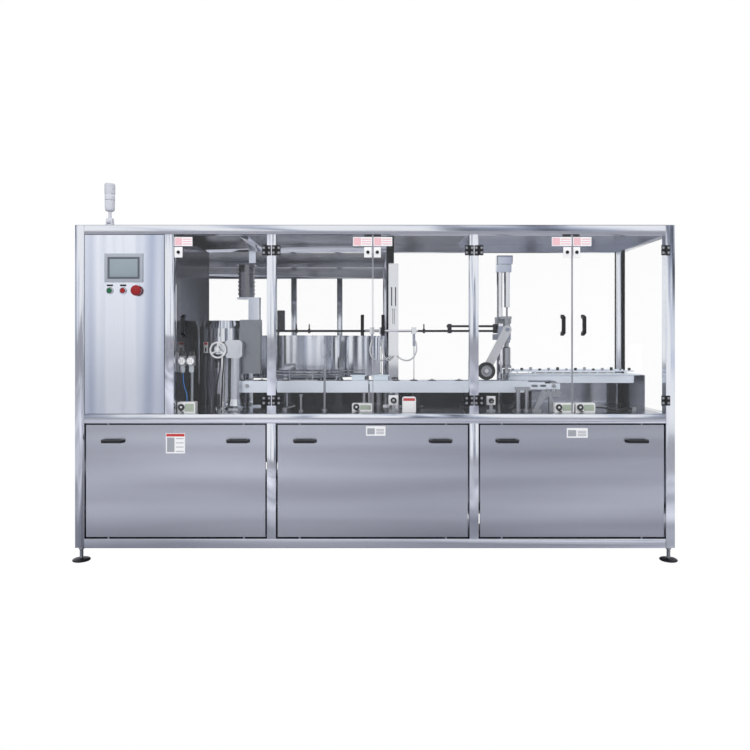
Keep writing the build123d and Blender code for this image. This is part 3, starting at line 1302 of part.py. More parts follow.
CAP_Y = at(CAP_DEPTH)
HEAD_BOTTOM_Z = 1322.0
HEAD_TOP_Z = 1362.0
CAP_CYLINDER = 38.0
CAP_CYLINDER_X = 828.0
CAP_CYLINDER_BOTTOM_Z = 1425.0
CAP_CYLINDER_TOP_Z = 1644.0
SPINDLE_BOTTOM_Z = 1050.0
CHUCK_TOP_Z = 1048.0
CHUCK_BOTTOM_Z = 992.0
CHUCK_DIAMETER = 44.0
BRACKET_X = 742.0
BRACKET_FRONT_Y = BELT_FRONT_Y + 20.0
BRACKET_SHEET = 6.0
ARM_Y = BRACKET_FRONT_Y - ARM_SHEET - FIT
WHEEL_WIDTH = 30.0
WHEEL_AXLE = 12.0


def cap_column():
    column = rod((CAP_COLUMN_X, CAP_Y, DECK_TOP + FLANGE), (0, 0, 1), CAP_COLUMN,
                 CAP_TOP_Z - 53 - DECK_TOP - FLANGE)
    column += rod((CAP_COLUMN_X, CAP_Y, DECK_TOP), (0, 0, 1), 64.0, FLANGE)
    left, right = CAP_COLUMN_X - 20, CAP_CYLINDER_X + 24
    half = CAP_COLUMN / 2 + 6
    collar = box(left, right, CAP_Y - half, CAP_Y + half, CAP_CYLINDER_TOP_Z,
                 CAP_TOP_Z - 57)
    cap = box(left, right + 8, CAP_Y - half - 4, CAP_Y + half + 4, CAP_TOP_Z - 53, CAP_TOP_Z)
    cap = chamfer(cap.edges().filter_by(Axis.Z), 4.0)
    cylinder = rod((CAP_CYLINDER_X, CAP_Y, CAP_CYLINDER_BOTTOM_Z), (0, 0, 1), CAP_CYLINDER,
                   CAP_CYLINDER_TOP_Z - CAP_CYLINDER_BOTTOM_Z)
    cylinder -= hole((CAP_CYLINDER_X, CAP_Y, CAP_CYLINDER_BOTTOM_Z), (0, 0, 1),
                    CYLINDER_ROD + 2 * FIT, CAP_CYLINDER_TOP_Z - CAP_CYLINDER_BOTTOM_Z - 12)
    collar -= column
    bracket_z0, bracket_z1 = ARM_PIVOT_Z - 62, ARM_PIVOT_Z - 26
    clamp = box(BRACKET_X, CAP_COLUMN_X + half, CAP_Y - half, CAP_Y + half, bracket_z0,
                bracket_z1) - column
    side = box(BRACKET_X, BRACKET_X + BRACKET_SHEET, BRACKET_FRONT_Y + BRACKET_SHEET,
               CAP_Y - half, bracket_z0, bracket_z1)
    plate = box(BRACKET_X, ARM_PIVOT_X + 22, BRACKET_FRONT_Y,
                BRACKET_FRONT_Y + BRACKET_SHEET, bracket_z0, ARM_PIVOT_Z + 20)
    pin_start = (ARM_PIVOT_X, BRACKET_FRONT_Y, ARM_PIVOT_Z)
    plate += rod(pin_start, (0, -1, 0), WHEEL_AXLE, ARM_SHEET + 2 * FIT)
    washer_start = (ARM_PIVOT_X, BRACKET_FRONT_Y - ARM_SHEET - 2 * FIT, ARM_PIVOT_Z)
    plate += rod(washer_start, (0, -1, 0), 26.0, 4.0)
    save("cap_column", column, collar, cap, cylinder, clamp + side + plate)


def cap_head():
    """The sliding block, its piston rod, the arm forward and the spindle housing."""
    half = CAP_COLUMN / 2 + 8
    block = box(CAP_COLUMN_X - half, CAP_CYLINDER_X + 22, CAP_Y - half, CAP_Y + half,
                HEAD_BOTTOM_Z, HEAD_TOP_Z)
    arm = box(SPINDLE_X - 26, SPINDLE_X + 26, BELT_MIDDLE_Y - 26, CAP_Y - half,
              HEAD_TOP_Z - 16, HEAD_TOP_Z)
    body = block + arm
    body -= hole((CAP_COLUMN_X, CAP_Y, HEAD_BOTTOM_Z), (0, 0, 1), CAP_COLUMN + 2 * FIT,
                HEAD_TOP_Z - HEAD_BOTTOM_Z)
    piston_rod = rod((CAP_CYLINDER_X, CAP_Y, HEAD_TOP_Z), (0, 0, 1), CYLINDER_ROD,
                     CAP_CYLINDER_TOP_Z - CAP_TRAVEL - 16 - HEAD_TOP_Z)
    radius = SPINDLE_BODY / 2
    housing = turned(
        [(0, SPINDLE_BOTTOM_Z + 30), (9.6, SPINDLE_BOTTOM_Z + 30), (9.6, SPINDLE_BOTTOM_Z),
         (radius + 4, SPINDLE_BOTTOM_Z), (radius + 4, SPINDLE_BOTTOM_Z + 12),
         (radius - 2, SPINDLE_BOTTOM_Z + 16), (radius - 2, 1171), (radius - 12, 1180),
         (radius - 12, 1200), (radius - 4, 1206), (radius - 4, HEAD_TOP_Z - 16),
         (0, HEAD_TOP_Z - 16)],
        SPINDLE_X, BELT_MIDDLE_Y, sides=12,
    )
    save("cap_head", body + piston_rod, housing)


def cap_chuck():
    """The turning chuck: its stem in the housing and four jaws below the disc."""
    radius = CHUCK_DIAMETER / 2
    profile = [
        (0, CHUCK_BOTTOM_Z + 22), (radius - 8, CHUCK_BOTTOM_Z + 22),
        (radius, CHUCK_BOTTOM_Z + 26), (radius, CHUCK_TOP_Z - 4), (8.7, CHUCK_TOP_Z - 4),
        (8.7, CHUCK_TOP_Z + 28), (0, CHUCK_TOP_Z + 28),
    ]
    chuck = turned(profile, SPINDLE_X, BELT_MIDDLE_Y, sides=12)
    for index in range(4):
        angle = radians(45 + 90 * index)
        x = SPINDLE_X + (radius - 6) * cos(angle)
        y = BELT_MIDDLE_Y + (radius - 6) * sin(angle)
        chuck += rod((x, y, CHUCK_BOTTOM_Z), (0, 0, 1), 9.0, 30.0)
    save("cap_chuck", chuck)


def press_arm():
    """A flat arm from its pivot down to the wheel, with the wheel's axle."""
    run_x, run_z = WHEEL_X - ARM_PIVOT_X, WHEEL_Z - ARM_PIVOT_Z
    length = hypot(run_x, run_z)
    arm = extrude(SlotCenterToCenter(length, ARM_WIDTH), ARM_SHEET)
    tilt = degrees(atan2(run_z, run_x))
    middle = Pos((WHEEL_X + ARM_PIVOT_X) / 2, ARM_Y + ARM_SHEET, (WHEEL_Z + ARM_PIVOT_Z) / 2)
    arm = middle * Rot(90, 0, 0) * Rot(0, 0, tilt) * arm
    arm -= hole((ARM_PIVOT_X, ARM_Y - 5, ARM_PIVOT_Z), (0, 1, 0), WHEEL_AXLE + 2 * FIT,
               ARM_SHEET + 10)
    axle = ARM_SHEET + WHEEL_WIDTH + 8
    arm += rod((WHEEL_X, ARM_Y + ARM_SHEET - axle, WHEEL_Z), (0, 1, 0), WHEEL_AXLE, axle)
    save("press_arm", arm)


def press_wheel():
    """A rubber tyre on a waisted hub that turns on the arm's axle."""
    y0 = ARM_Y - 2.0 - WHEEL_WIDTH
    radius = WHEEL_DIAMETER / 2
    sides = 16
    bore = (WHEEL_AXLE / 2 + FIT) / cos(pi / sides)
    tyre = Pos(WHEEL_X, y0, WHEEL_Z) * Rot(-90, 0, 0) * turned(
        [(radius * 0.62, 2), (radius - 3, 0), (radius, 3), (radius, WHEEL_WIDTH - 3),
         (radius - 3, WHEEL_WIDTH), (radius * 0.62, WHEEL_WIDTH - 2)], 0, 0, sides=sides)
    hub = Pos(WHEEL_X, y0, WHEEL_Z) * Rot(-90, 0, 0) * turned(
        [(bore, 0), (14, 0), (14, 6), (radius * 0.62, 6), (radius * 0.62, WHEEL_WIDTH - 6),
         (14, WHEEL_WIDTH - 6), (14, WHEEL_WIDTH), (bore, WHEEL_WIDTH)], 0, 0, sides=sides)
    save("press_wheel", tyre, hub)


# Cap hopper, and the motor, duct and chute box of the cap elevator

HOPPER_Y = at(HOPPER_DEPTH)
HOPPER_SHEET = 3.0
HOPPER_CONE_Z = 1290.0
HOPPER_MOUTH = 300.0
HOPPER_FLOOR_Z = 1000.0
ELEVATOR_Y = at(ELEVATOR_FRONT_DEPTH + ELEVATOR_DEPTH / 2)
DUCT_WIDTH = 66.0
DUCT_DEPTH = 48.0
DUCT_X = -730.0
DUCT_BOTTOM_Z = 1318.0
MOTOR_X = -779.0
ELEVATOR_POST_X = -766.0
ELEVATOR_POST = 24.0
RAIL_HALF = 6.0
ELEVATOR_POST_DEPTH = 452.0
ELEVATOR_POST_TOP_Z = 1300.0
RACK = 12.0


def cap_hopper():
    radius = HOPPER_DIAMETER / 2
    mouth = HOPPER_MOUTH / 2
    wall = HOPPER_SHEET
    save("cap_hopper", turned(
        [(radius - wall, DECK_TOP), (radius, DECK_TOP), (radius, HOPPER_CONE_Z),
         (mouth, HOPPER_TOP_Z), (mouth - wall, HOPPER_TOP_Z), (radius - wall, HOPPER_CONE_Z),
         (radius - wall, HOPPER_FLOOR_Z), (0, HOPPER_FLOOR_Z),
         (0, HOPPER_FLOOR_Z - wall), (radius - wall, HOPPER_FLOOR_Z - wall)],
        HOPPER_X, HOPPER_Y,
    ))


def cap_elevator():
    """Motor hung from the roof beam, the duct below it and the post behind."""
    flange_z = MOTOR_BOTTOM_Z - 10
    half_depth = ELEVATOR_DEPTH / 2
    hanger = tube("z", MOTOR_TOP_Z + 10, OPEN_TOP_Z, MOTOR_BEAM_X, ELEVATOR_Y, 40.0)
    top = box(MOTOR_X - 52, MOTOR_BEAM_X + 25, ELEVATOR_Y - 45, ELEVATOR_Y + 45,
              MOTOR_TOP_Z, MOTOR_TOP_Z + 10)
    outer, inner = MOTOR_DIAMETER / 2, MOTOR_DIAMETER / 2 - 5
    outline = [(0, MOTOR_BOTTOM_Z), (inner, MOTOR_BOTTOM_Z)]
    for index in range(7):
        z = MOTOR_BOTTOM_Z + 16 + 24 * index
        outline += [(inner, z), (outer, z), (outer, z + 12), (inner, z + 12)]
    outline += [(inner, MOTOR_TOP_Z), (0, MOTOR_TOP_Z)]
    motor = turned(outline, MOTOR_X, ELEVATOR_Y, sides=12)
    plate = box(MOTOR_X - 52, DUCT_X + DUCT_WIDTH / 2, ELEVATOR_Y - half_depth,
                ELEVATOR_Y + half_depth, flange_z, MOTOR_BOTTOM_Z)
    half_w, half_d = DUCT_WIDTH / 2, DUCT_DEPTH / 2
    duct = box(DUCT_X - half_w, DUCT_X + half_w, ELEVATOR_Y - half_d, ELEVATOR_Y + half_d,
               DUCT_BOTTOM_Z, flange_z)
    duct -= box(DUCT_X - half_w + SHEET, DUCT_X + half_w - SHEET,
                ELEVATOR_Y - half_d + SHEET, ELEVATOR_Y + half_d - SHEET, DUCT_BOTTOM_Z,
                flange_z - SHEET)
    post_y = at(ELEVATOR_POST_DEPTH)
    half_post = ELEVATOR_POST / 2
    stand = box(ELEVATOR_POST_X - half_post, ELEVATOR_POST_X + half_post, post_y - half_post,
                post_y + half_post, DECK_TOP + FLANGE, ELEVATOR_POST_TOP_Z)
    stand += box(ELEVATOR_POST_X - half_post, ELEVATOR_POST_X + 64, post_y - 22,
                 post_y + half_post, DECK_TOP, DECK_TOP + FLANGE)
    slide = box(ELEVATOR_POST_X - RAIL_HALF, ELEVATOR_POST_X + RAIL_HALF,
                post_y - half_post - 8, post_y - half_post, 1060.0, ELEVATOR_POST_TOP_Z)
    save("cap_elevator", hanger, top, motor, plate, duct, stand, slide)


def chute_box():
    """The box that the handwheel raises, its carriage and its rack."""
    y0, y1 = ELEVATOR_Y - ELEVATOR_DEPTH / 2, ELEVATOR_Y + ELEVATOR_DEPTH / 2
    shell = box(ELEVATOR_LEFT_X, ELEVATOR_RIGHT_X, y0, y1, ELEVATOR_BOTTOM_Z,
                ELEVATOR_TOP_Z)
    shell -= box(ELEVATOR_LEFT_X + SHEET, ELEVATOR_RIGHT_X - SHEET, y0 + SHEET, y1 - SHEET,
                 ELEVATOR_BOTTOM_Z + SHEET, ELEVATOR_TOP_Z)
    slide_front = at(ELEVATOR_POST_DEPTH) - ELEVATOR_POST / 2 - 8
    carriage = box(ELEVATOR_POST_X - 20, ELEVATOR_POST_X + 20, y1, slide_front + 6, 1110.0,
                   1190.0)
    carriage -= box(ELEVATOR_POST_X - RAIL_HALF - FIT, ELEVATOR_POST_X + RAIL_HALF + FIT,
                    slide_front - FIT, slide_front + 20, 1110.0, 1190.0)
    rack = box(ELEVATOR_LEFT_X - RACK, ELEVATOR_LEFT_X, ELEVATOR_Y - RACK / 2,
               ELEVATOR_Y + RACK / 2, 1070.0, 1290.0)
    teeth = [Pos(ELEVATOR_LEFT_X - RACK, ELEVATOR_Y, 1080.0 + 8.0 * i)
             * Box(5.0, 2 * RACK, 4.0) for i in range(26)]
    save("chute_box", shell, carriage, rack - teeth)


# Handwheel on its stand, with the pinion housing beside the rack

WHEEL_SHAFT = 16.0
CABLE_GLANDS = (
    (-898.0, HANDWHEEL_Z - 32, 8.0), (-918.0, HANDWHEEL_Z - 32, 8.0),
    (-912.0, DECK_TOP, 8.0), (-944.0, DECK_TOP, 8.0),
)
GEARBOX_WIDTH = 100.0
GEARBOX_DEPTH = 74.0
GEARBOX_RISE = 106.0


def handwheel_stand():
    y = at(STAND_DEPTH)
    z = HANDWHEEL_Z + 6
    half = GEARBOX_RISE / 2
    body = box(STAND_X - GEARBOX_WIDTH / 2, STAND_X + GEARBOX_WIDTH / 2,
               y - GEARBOX_DEPTH / 2, y + GEARBOX_DEPTH / 2, z - half, z + half)
    body = chamfer(body.edges().filter_by(Axis.Y), 14.0)
    body += rod((STAND_X, y - GEARBOX_DEPTH / 2, z), (0, -1, 0), 70.0, 10.0)
    boss_front = at(HANDWHEEL_DEPTH) + 16.0
    boss = box(HANDWHEEL_X - 24, STAND_X - GEARBOX_WIDTH / 2, boss_front,
               y + GEARBOX_DEPTH / 2 - 10, HANDWHEEL_Z - 24, HANDWHEEL_Z + 24)
    boss = chamfer(boss.edges().filter_by(Axis.Y).group_by(Axis.X)[0], 10.0)
    boss -= hole((HANDWHEEL_X, boss_front, HANDWHEEL_Z), (0, 1, 0), WHEEL_SHAFT + 2 * FIT,
                34.0)
    foot = turned(
        [(0, 0), (60, 0), (60, 8), (44, 20), (36, 60), (33, z - half - DECK_TOP),
         (0, z - half - DECK_TOP)], STAND_X, y, DECK_TOP, sides=12)
    shaft_x = ELEVATOR_LEFT_X - RACK - 12
    housing_y0 = ELEVATOR_Y - 22
    link = rod((shaft_x, y + GEARBOX_DEPTH / 2, z), (0, 1, 0), 22.0,
               housing_y0 - y - GEARBOX_DEPTH / 2)
    housing = box(shaft_x - 12, ELEVATOR_LEFT_X - RACK - FIT, housing_y0, ELEVATOR_Y + 8,
                  z - 26, z + 26)
    glands = []
    for x, z0, rise in CABLE_GLANDS:
        glands.append(rod((x, y, z0), (0, 0, 1), 14.0, rise))
    save("handwheel_stand", body, boss, foot, link, housing, *glands)


def handwheel():
    """A round rim, three spokes, a hub and the shaft into the boss."""
    y = at(HANDWHEEL_DEPTH)
    radius = (HANDWHEEL_DIAMETER - HANDWHEEL_RIM) / 2
    half = HANDWHEEL_RIM / 2
    facet = half * tan(pi / 8)
    wheel = turned(
        [(radius - half, -facet), (radius - facet, -half), (radius + facet, -half),
         (radius + half, -facet), (radius + half, facet), (radius + facet, half),
         (radius - facet, half), (radius - half, facet)], 0, 0, sides=18)
    wheel += rod((0, 0, -11), (0, 0, 1), 30.0, 22.0)
    for index in range(3):
        angle = radians(90 + 120 * index)
        wheel += rod((0, 0, 0), (cos(angle), sin(angle), 0), 10.0, radius)
    wheel = Pos(HANDWHEEL_X, y, HANDWHEEL_Z) * Rot(90, 0, 0) * wheel
    wheel += rod((HANDWHEEL_X, y, HANDWHEEL_Z), (0, 1, 0), WHEEL_SHAFT, 46.0)
    save("handwheel", wheel)


# Small units that stand on the deck

UNIT_PLATE = 8.0


def rounded_plate(x0, x1, y, thickness, z0, z1, radius):
    """An upright plate facing the front, with rounded top corners."""
    plate = box(x0, x1, y, y + thickness, z0, z1)
    return fillet(plate.edges().filter_by(Axis.Y).group_by(Axis.Z)[-1], radius)


def flange_bearing(x, y, z, width):
    """A four-bolt flange bearing standing on a foot, its bore facing the front."""
    half = width / 2
    body = box(x - half, x + half, y, y + 10, z - half, z + half)
    body += rod((x, y, z), (0, -1, 0), width * 0.62, 9.0)
    body += box(x - half, x + half, y, y + 34, DECK_TOP, DECK_TOP + UNIT_PLATE)
    body += box(x - 9, x + 9, y, y + 10, DECK_TOP, z - half)
    for dx in (-0.34, 0.34):
        for dz in (-0.34, 0.34):
            body += rod((x + dx * width, y, z + dz * width), (0, -1, 0), 9.0, 5.0)
    return [body - rod((x, y - 20, z), (0, 1, 0), 14.0, 60.0)]


def pump(x, y):
    """One dosing pump: a barrel between two collars, with its two ports."""
    body = rod((x, y, DECK_TOP), (0, 0, 1), 44.0, 14.0)
    body += rod((x, y, DECK_TOP + 14), (0, 0, 1), 36.0, 108.0)
    body += rod((x, y, DECK_TOP + 122), (0, 0, 1), 44.0, 16.0)
    body += rod((x, y, DECK_TOP + 138), (0, 0, 1), 12.0, 14.0)
    return body


def clamp_post(x, y, height, diameter, knob):
    """A post in a round foot with a turned knob on its top."""
    post = rod((x, y, DECK_TOP), (0, 0, 1), 2.4 * diameter, 9.0)
    post += rod((x, y, DECK_TOP), (0, 0, 1), diameter, height)
    post += rod((x, y, DECK_TOP + height), (0, 0, 1), knob, 0.7 * knob)
    return post


def bay_2_units():
    y = at(150)
    lever = rod((-516.0, y, DECK_TOP), (0, 0, 1), 30.0, 20.0)
    lever += rod((-508.0, y, DECK_TOP + 18), (0.96, 0, 0.28), 10.0, 52.0)
    block = box(-132.0, -17.0, y, y + 40, DECK_TOP, DECK_TOP + 46)
    block = chamfer(block.edges().filter_by(Axis.Y).group_by(Axis.Z)[-1], 6.0)
    rods = [rod((x, y + 20, DECK_TOP + 46), (0, 0, 1), 14.0, 62.0) for x in (-63.0, -34.0)]
    bolts = [rod((x, y, DECK_TOP + 23), (0, -1, 0), 11.0, 5.0) for x in (-120.0, -29.0)]
    plate_y = at(110)
    plate = rounded_plate(155.0, 232.0, plate_y, 4.0, DECK_TOP, 898.0, 12.0)
    plate += box(155.0, 232.0, plate_y, plate_y + 28, DECK_TOP, DECK_TOP + 4)
    return [
        lever, clamp_post(-424.0, y, 84.0, 12.0, 20.0), block, *rods, *bolts,
        clamp_post(-292.0, at(190), 230.0, 14.0, 22.0), plate,
        *flange_bearing(106.0, y, 874.0, 56.0),
        *[pump(x, at(570)) for x in (-72.0, -24.0, 24.0, 72.0)],
    ]


BOX_CABLE_X = 1251.0
CLIP_X = BOX_CABLE_X + 0.656 * (RIGHT_X - HALF - BOX_CABLE_X)
CLIP_WIDTH = 24.0
CLIP_RISE = 22.0


def bay_3_units():
    y = at(150)
    columns = []
    for x in (828.0, 878.0):
        column = rod((x, y + 40, DECK_TOP), (0, 0, 1), 54.0 if x > 850 else 40.0, 10.0)
        column += rod((x, y + 40, DECK_TOP), (0, 0, 1), 26.0, 118.0)
        columns.append(column)
    bridge = box(812.0, 894.0, y + 24, y + 56, DECK_TOP + 118, DECK_TOP + 136)
    arm_foot = box(898.0, 950.0, y - 14, y + 14, DECK_TOP, DECK_TOP + 14)
    diagonal = extrude(
        make_face(Polyline((906, DECK_TOP + 14), (934, DECK_TOP + 14), (980, 900),
                           (980, 930), (956, 930), close=True)), 8.0, both=True)
    diagonal = Pos(0, y, 0) * Rot(90, 0, 0) * diagonal
    manifold = box(951.0, 1060.0, y - 16, y + 16, 896.0, 922.0)
    manifold += box(996.0, 1016.0, y - 10, y + 10, DECK_TOP, 896.0)
    manifold -= diagonal
    for x in (990.0, 1016.0, 1042.0):
        manifold += rod((x, y, 922.0), (0, 0, 1), 18.0, 16.0)
        manifold += rod((x, y - 16, 909.0), (0, -1, 0), 14.0, 10.0)
    boxes = [rod((1243.0, at(115), 836.0), (1, 0, 0), 14.0, 8.0),
             box(CLIP_X, CLIP_X + CLIP_WIDTH, at(165), at(195), DECK_TOP,
                DECK_TOP + CLIP_RISE)]
    for x0, x1 in ((1014.0, 1123.0), (1134.0, 1243.0)):
        unit = box(x0, x1, at(95), at(135), DECK_TOP, 863.0)
        boxes.append(chamfer(unit.edges().group_by(Axis.Z)[-1], 3.0))
    return [*columns, bridge, arm_foot, diagonal, manifold, *boxes,
            *flange_bearing(665.0, y, 872.0, 50.0)]


def regulators():
    """Gauges and air units on the cabinet wall, and a blank-fronted box below."""
    wall_x = CABINET_RIGHT_X
    y = at(78)
    back = box(wall_x, wall_x + 8, y - 12, y + 40, 1040.0, 1150.0)
    units = [back]
    for x in (-1082.0, -1032.0):
        body = box(x - 17, x + 17, y, y + 30, 1072.0, 1130.0)
        body = chamfer(body.edges().filter_by(Axis.Y), 4.0)
        body += rod((x, y + 15, 1130.0), (0, 0, 1), 26.0, 20.0)
        body += rod((x, y + 15, 1072.0), (0, 0, -1), 22.0, 34.0)
        body += rod((x, y, 1101.0), (0, -1, 0), 44.0, 12.0)
        units.append(body)
    units.append(box(-1065.0, -1049.0, y + 6, y + 24, 1092.0, 1110.0))
    case = box(wall_x + 2, -1006.0, at(60), at(110), DECK_TOP, 872.0)
    units.append(chamfer(case.edges().group_by(Axis.Z)[-1], 4.0))
    pipe = rod((-1032.0, y + 15, 1038.0), (0, 0, -1), 16.0, 1038.0 - 872.0)
    units.append(pipe - units[-1])
    return units


def deck_units():
    save("deck_units", *bay_2_units(), *bay_3_units(), *regulators())


# Cords: hand-chosen points, each bend as wide as its shorter straight run allows

CABLE = 8.0
AIR_TUBE = 6.0
TUBE_FLEX = 0.45


def cord(points, diameter):
    """A round cord through the points, with tangent arcs at the bends."""
    points = [Vector(*point) for point in points]
    radii = []
    for before, corner, after in zip(points, points[1:], points[2:]):
        arriving, leaving = corner - before, after - corner
        turn = radians(arriving.get_angle(leaving))
        shorter = min(arriving.length, leaving.length)
        radii.append(TUBE_FLEX * shorter / tan(turn / 2))
    path = FilletPolyline(*points, radius=radii)
    section = Plane(origin=points[0], z_dir=points[1] - points[0]) * Circle(diameter / 2)
    body = sweep(section, path=path)
    share = body.volume / (pi * (diameter / 2) ** 2 * path.length)
    print("cord", round(path.length), "mm, volume share", round(share, 3),
          "tightest bend", round(min(radii)))
    return body


def cables_and_tubes():
    """Cables of the handwheel stand, blue air tubes, and the cable in the right bay."""
    y = at(STAND_DEPTH)
    top = HANDWHEEL_Z - 32
    foot = DECK_TOP + 8
    first = cord([(-898, y, top), (-898, y, top - 62), (-905, y - 14, top - 130),
                  (-902, y - 20, top - 200), (-912, y, foot + 56),
                  (-912, y, foot)], CABLE)
    second = cord([(-918, y, top), (-918, y, top - 66), (-931, y - 12, top - 134),
                   (-938, y - 22, top - 206), (-944, y, foot + 54),
                   (-944, y, foot)], CABLE)
    air_y = at(78) + 15
    blue = cord([(-1082, air_y, 1038), (-1082, air_y, 996), (-1074, air_y - 8, 956),
                 (-1060, air_y, 914), (-1060, air_y, 872)], AIR_TUBE)
    run = CLIP_X - BOX_CABLE_X
    places = ((0, 115, 26), (0.205, 115, 26), (0.415, 122, 12), (0.65, 148, 6),
              (0.825, 180, 11), (1, 180, 11))
    right = cord([(BOX_CABLE_X + share * run, at(depth), DECK_TOP + rise)
                  for share, depth, rise in places], CABLE)
    save("cables_and_tubes", first, second, blue, right)


def fill_hoses():
    """Three hoses from the ports of the manifold to the needles."""
    needle_y = BELT_MIDDLE_Y - SPIGOT_REACH
    port_y = COLUMN_FRONT_Y - 26 - PORT_REACH
    port_z = MANIFOLD_Z + MANIFOLD_RISE / 2
    runs = [
        [(0, 0, 0), (0, -40, 0), (-8, -68, -30), (-14, -70, -76), (6, -58, -120)],
        [(0, 0, 0), (0, -42, 0), (4, -72, -28), (6, -78, -72), (20, -66, -116)],
        [(0, 0, 0), (0, -40, 0), (10, -70, -28), (10, -76, -74), (-14, -62, -118)],
    ]
    hoses = []
    for x, port_x, run in zip(NEEDLE_XS, PORT_XS, runs):
        points = [(x + dx, needle_y + dy, SPIGOT_Z + dz) for dx, dy, dz in run]
        last = points[-1]
        middle_x = (last[0] + port_x) / 2
        points.append((middle_x, (last[1] + port_y) / 2 - 14, port_z - 28))
        points.append((port_x, port_y - 40, port_z))
        points.append((port_x, port_y, port_z))
        hoses.append(cord(points, FILL_TUBE))
    save("fill_hoses", *hoses)


main_frame()
chamber_frame()
levelling_feet()
deck_plate()
outer_skins()
fixed_windows()
cabinet_shell()
control_modules()
control_door_skin()
touch_screen()
button_collars()
flat_cap("start_cap", START_X)
flat_cap("stop_cap", STOP_X)
mushroom_cap("estop_cap", ESTOP_X)
guard_doors()
base_panels()
lamp_foot()
tower_lamp()
drum_wall()
drum_stand()
turntable_disc()
conveyor_frame()
slat_chain()
conveyor_roller("main_drive_roller", DRIVE_X)
conveyor_roller("main_idler_roller", IDLER_X)
guide_rails()
outfeed_table()
fill_column()
tie_bars()
nozzle_bar()
cap_column()
cap_head()
cap_chuck()
press_arm()
press_wheel()
cap_hopper()
cap_elevator()
chute_box()
handwheel_stand()
handwheel()
deck_units()
cables_and_tubes()
fill_hoses()
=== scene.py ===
# %% [markdown]
# # A filling and capping line in stainless steel
# The solids of this machine come from its CAD frame, and this notebook dresses them.
# Every piece keeps the place of its solid and rides on the same moving body.

import math

import bpy
from mathutils import Matrix, Vector


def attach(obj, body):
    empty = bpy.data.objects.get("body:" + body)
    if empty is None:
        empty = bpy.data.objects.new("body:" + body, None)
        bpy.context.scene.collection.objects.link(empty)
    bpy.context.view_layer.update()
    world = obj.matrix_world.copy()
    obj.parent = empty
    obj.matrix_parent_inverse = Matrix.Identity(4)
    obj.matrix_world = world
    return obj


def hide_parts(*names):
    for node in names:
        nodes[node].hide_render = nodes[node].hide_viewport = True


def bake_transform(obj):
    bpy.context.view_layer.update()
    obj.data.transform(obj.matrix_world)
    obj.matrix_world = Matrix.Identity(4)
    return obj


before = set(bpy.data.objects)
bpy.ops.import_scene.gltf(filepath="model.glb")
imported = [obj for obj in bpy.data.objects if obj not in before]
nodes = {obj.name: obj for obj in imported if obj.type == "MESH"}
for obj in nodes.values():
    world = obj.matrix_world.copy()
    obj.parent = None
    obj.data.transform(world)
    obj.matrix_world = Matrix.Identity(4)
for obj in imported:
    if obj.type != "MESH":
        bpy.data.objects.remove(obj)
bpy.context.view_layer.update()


# %% [markdown]
# Colours are written as they look on a screen. The renderer works on linear light, so one
# function turns a hex value into linear numbers, and one adds a node with its settings.

# %% Colours and nodes
def colour(code):
    parts = [int(code[i:i + 2], 16) / 255 for i in (1, 3, 5)]
    linear = [p / 12.92 if p <= 0.04045 else ((p + 0.055) / 1.055) ** 2.4 for p in parts]
    return (*linear, 1.0)


def add(tree, kind, settings=(), inputs=()):
    node = tree.nodes.new("ShaderNode" + kind)
    for name, value in dict(settings).items():
        setattr(node, name, value)
    for name, value in dict(inputs).items():
        socket = node.inputs[name]
        if isinstance(value, bpy.types.NodeSocket):
            tree.links.new(value, socket)
        else:
            socket.default_value = value
    return node


def new_material(name, base, metallic, roughness, **sockets):
    made = bpy.data.materials.new(name)
    made.use_nodes = True
    shader = made.node_tree.nodes["Principled BSDF"]
    shader.inputs["Base Color"].default_value = colour(base)
    shader.inputs["Metallic"].default_value = metallic
    shader.inputs["Roughness"].default_value = roughness
    for socket, value in sockets.items():
        shader.inputs[socket.replace("_", " ")].default_value = value
    made.diffuse_color = colour(base)
    return made


# %% [markdown]
# The frame is square tube of 304 stainless steel, polished by hand with a felt wheel. It
# shows the room like a poor mirror: the sheet is not quite flat, and its polish is uneven.
# A soft noise bends the normals for the first, and a second noise changes the roughness.
# Flat brushed sheets leave the first out and have wide bands of two colours along their polish
# instead; on the upright door sheet these bands are painted reflection streaks.

# %% Polished and brushed stainless steel
def steel(name, base, low, high, wave, grain_scale, grain_bump):
    made = new_material(name, base, 1.0, low)
    tree = made.node_tree
    shader = tree.nodes["Principled BSDF"]
    place = add(tree, "TexCoord").outputs["Object"]
    cloud = add(tree, "TexNoise", {}, {"Vector": place, "Scale": 3.1, "Detail": 1.0})
    spread = add(tree, "MapRange", {}, {
        "Value": cloud.outputs["Fac"], "From Min": 0.2, "From Max": 0.8,
        "To Min": low, "To Max": high})
    tree.links.new(spread.outputs["Result"], shader.inputs["Roughness"])
    swell = add(tree, "TexNoise", {}, {"Vector": place, "Scale": 2.2, "Detail": 1.0})
    soft = add(tree, "Bump", {}, {
        "Strength": wave, "Distance": 0.02, "Height": swell.outputs["Fac"]})
    stretched = add(tree, "Mapping", {}, {"Vector": place, "Scale": grain_scale})
    lines = add(tree, "TexNoise", {}, {
        "Vector": stretched.outputs["Vector"], "Scale": 1.0, "Detail": 2.0})
    grain = add(tree, "Bump", {}, {
        "Strength": grain_bump, "Distance": 0.0004, "Height": lines.outputs["Fac"],
        "Normal": soft.outputs["Normal"]})
    tree.links.new(grain.outputs["Normal"], shader.inputs["Normal"])
    return made


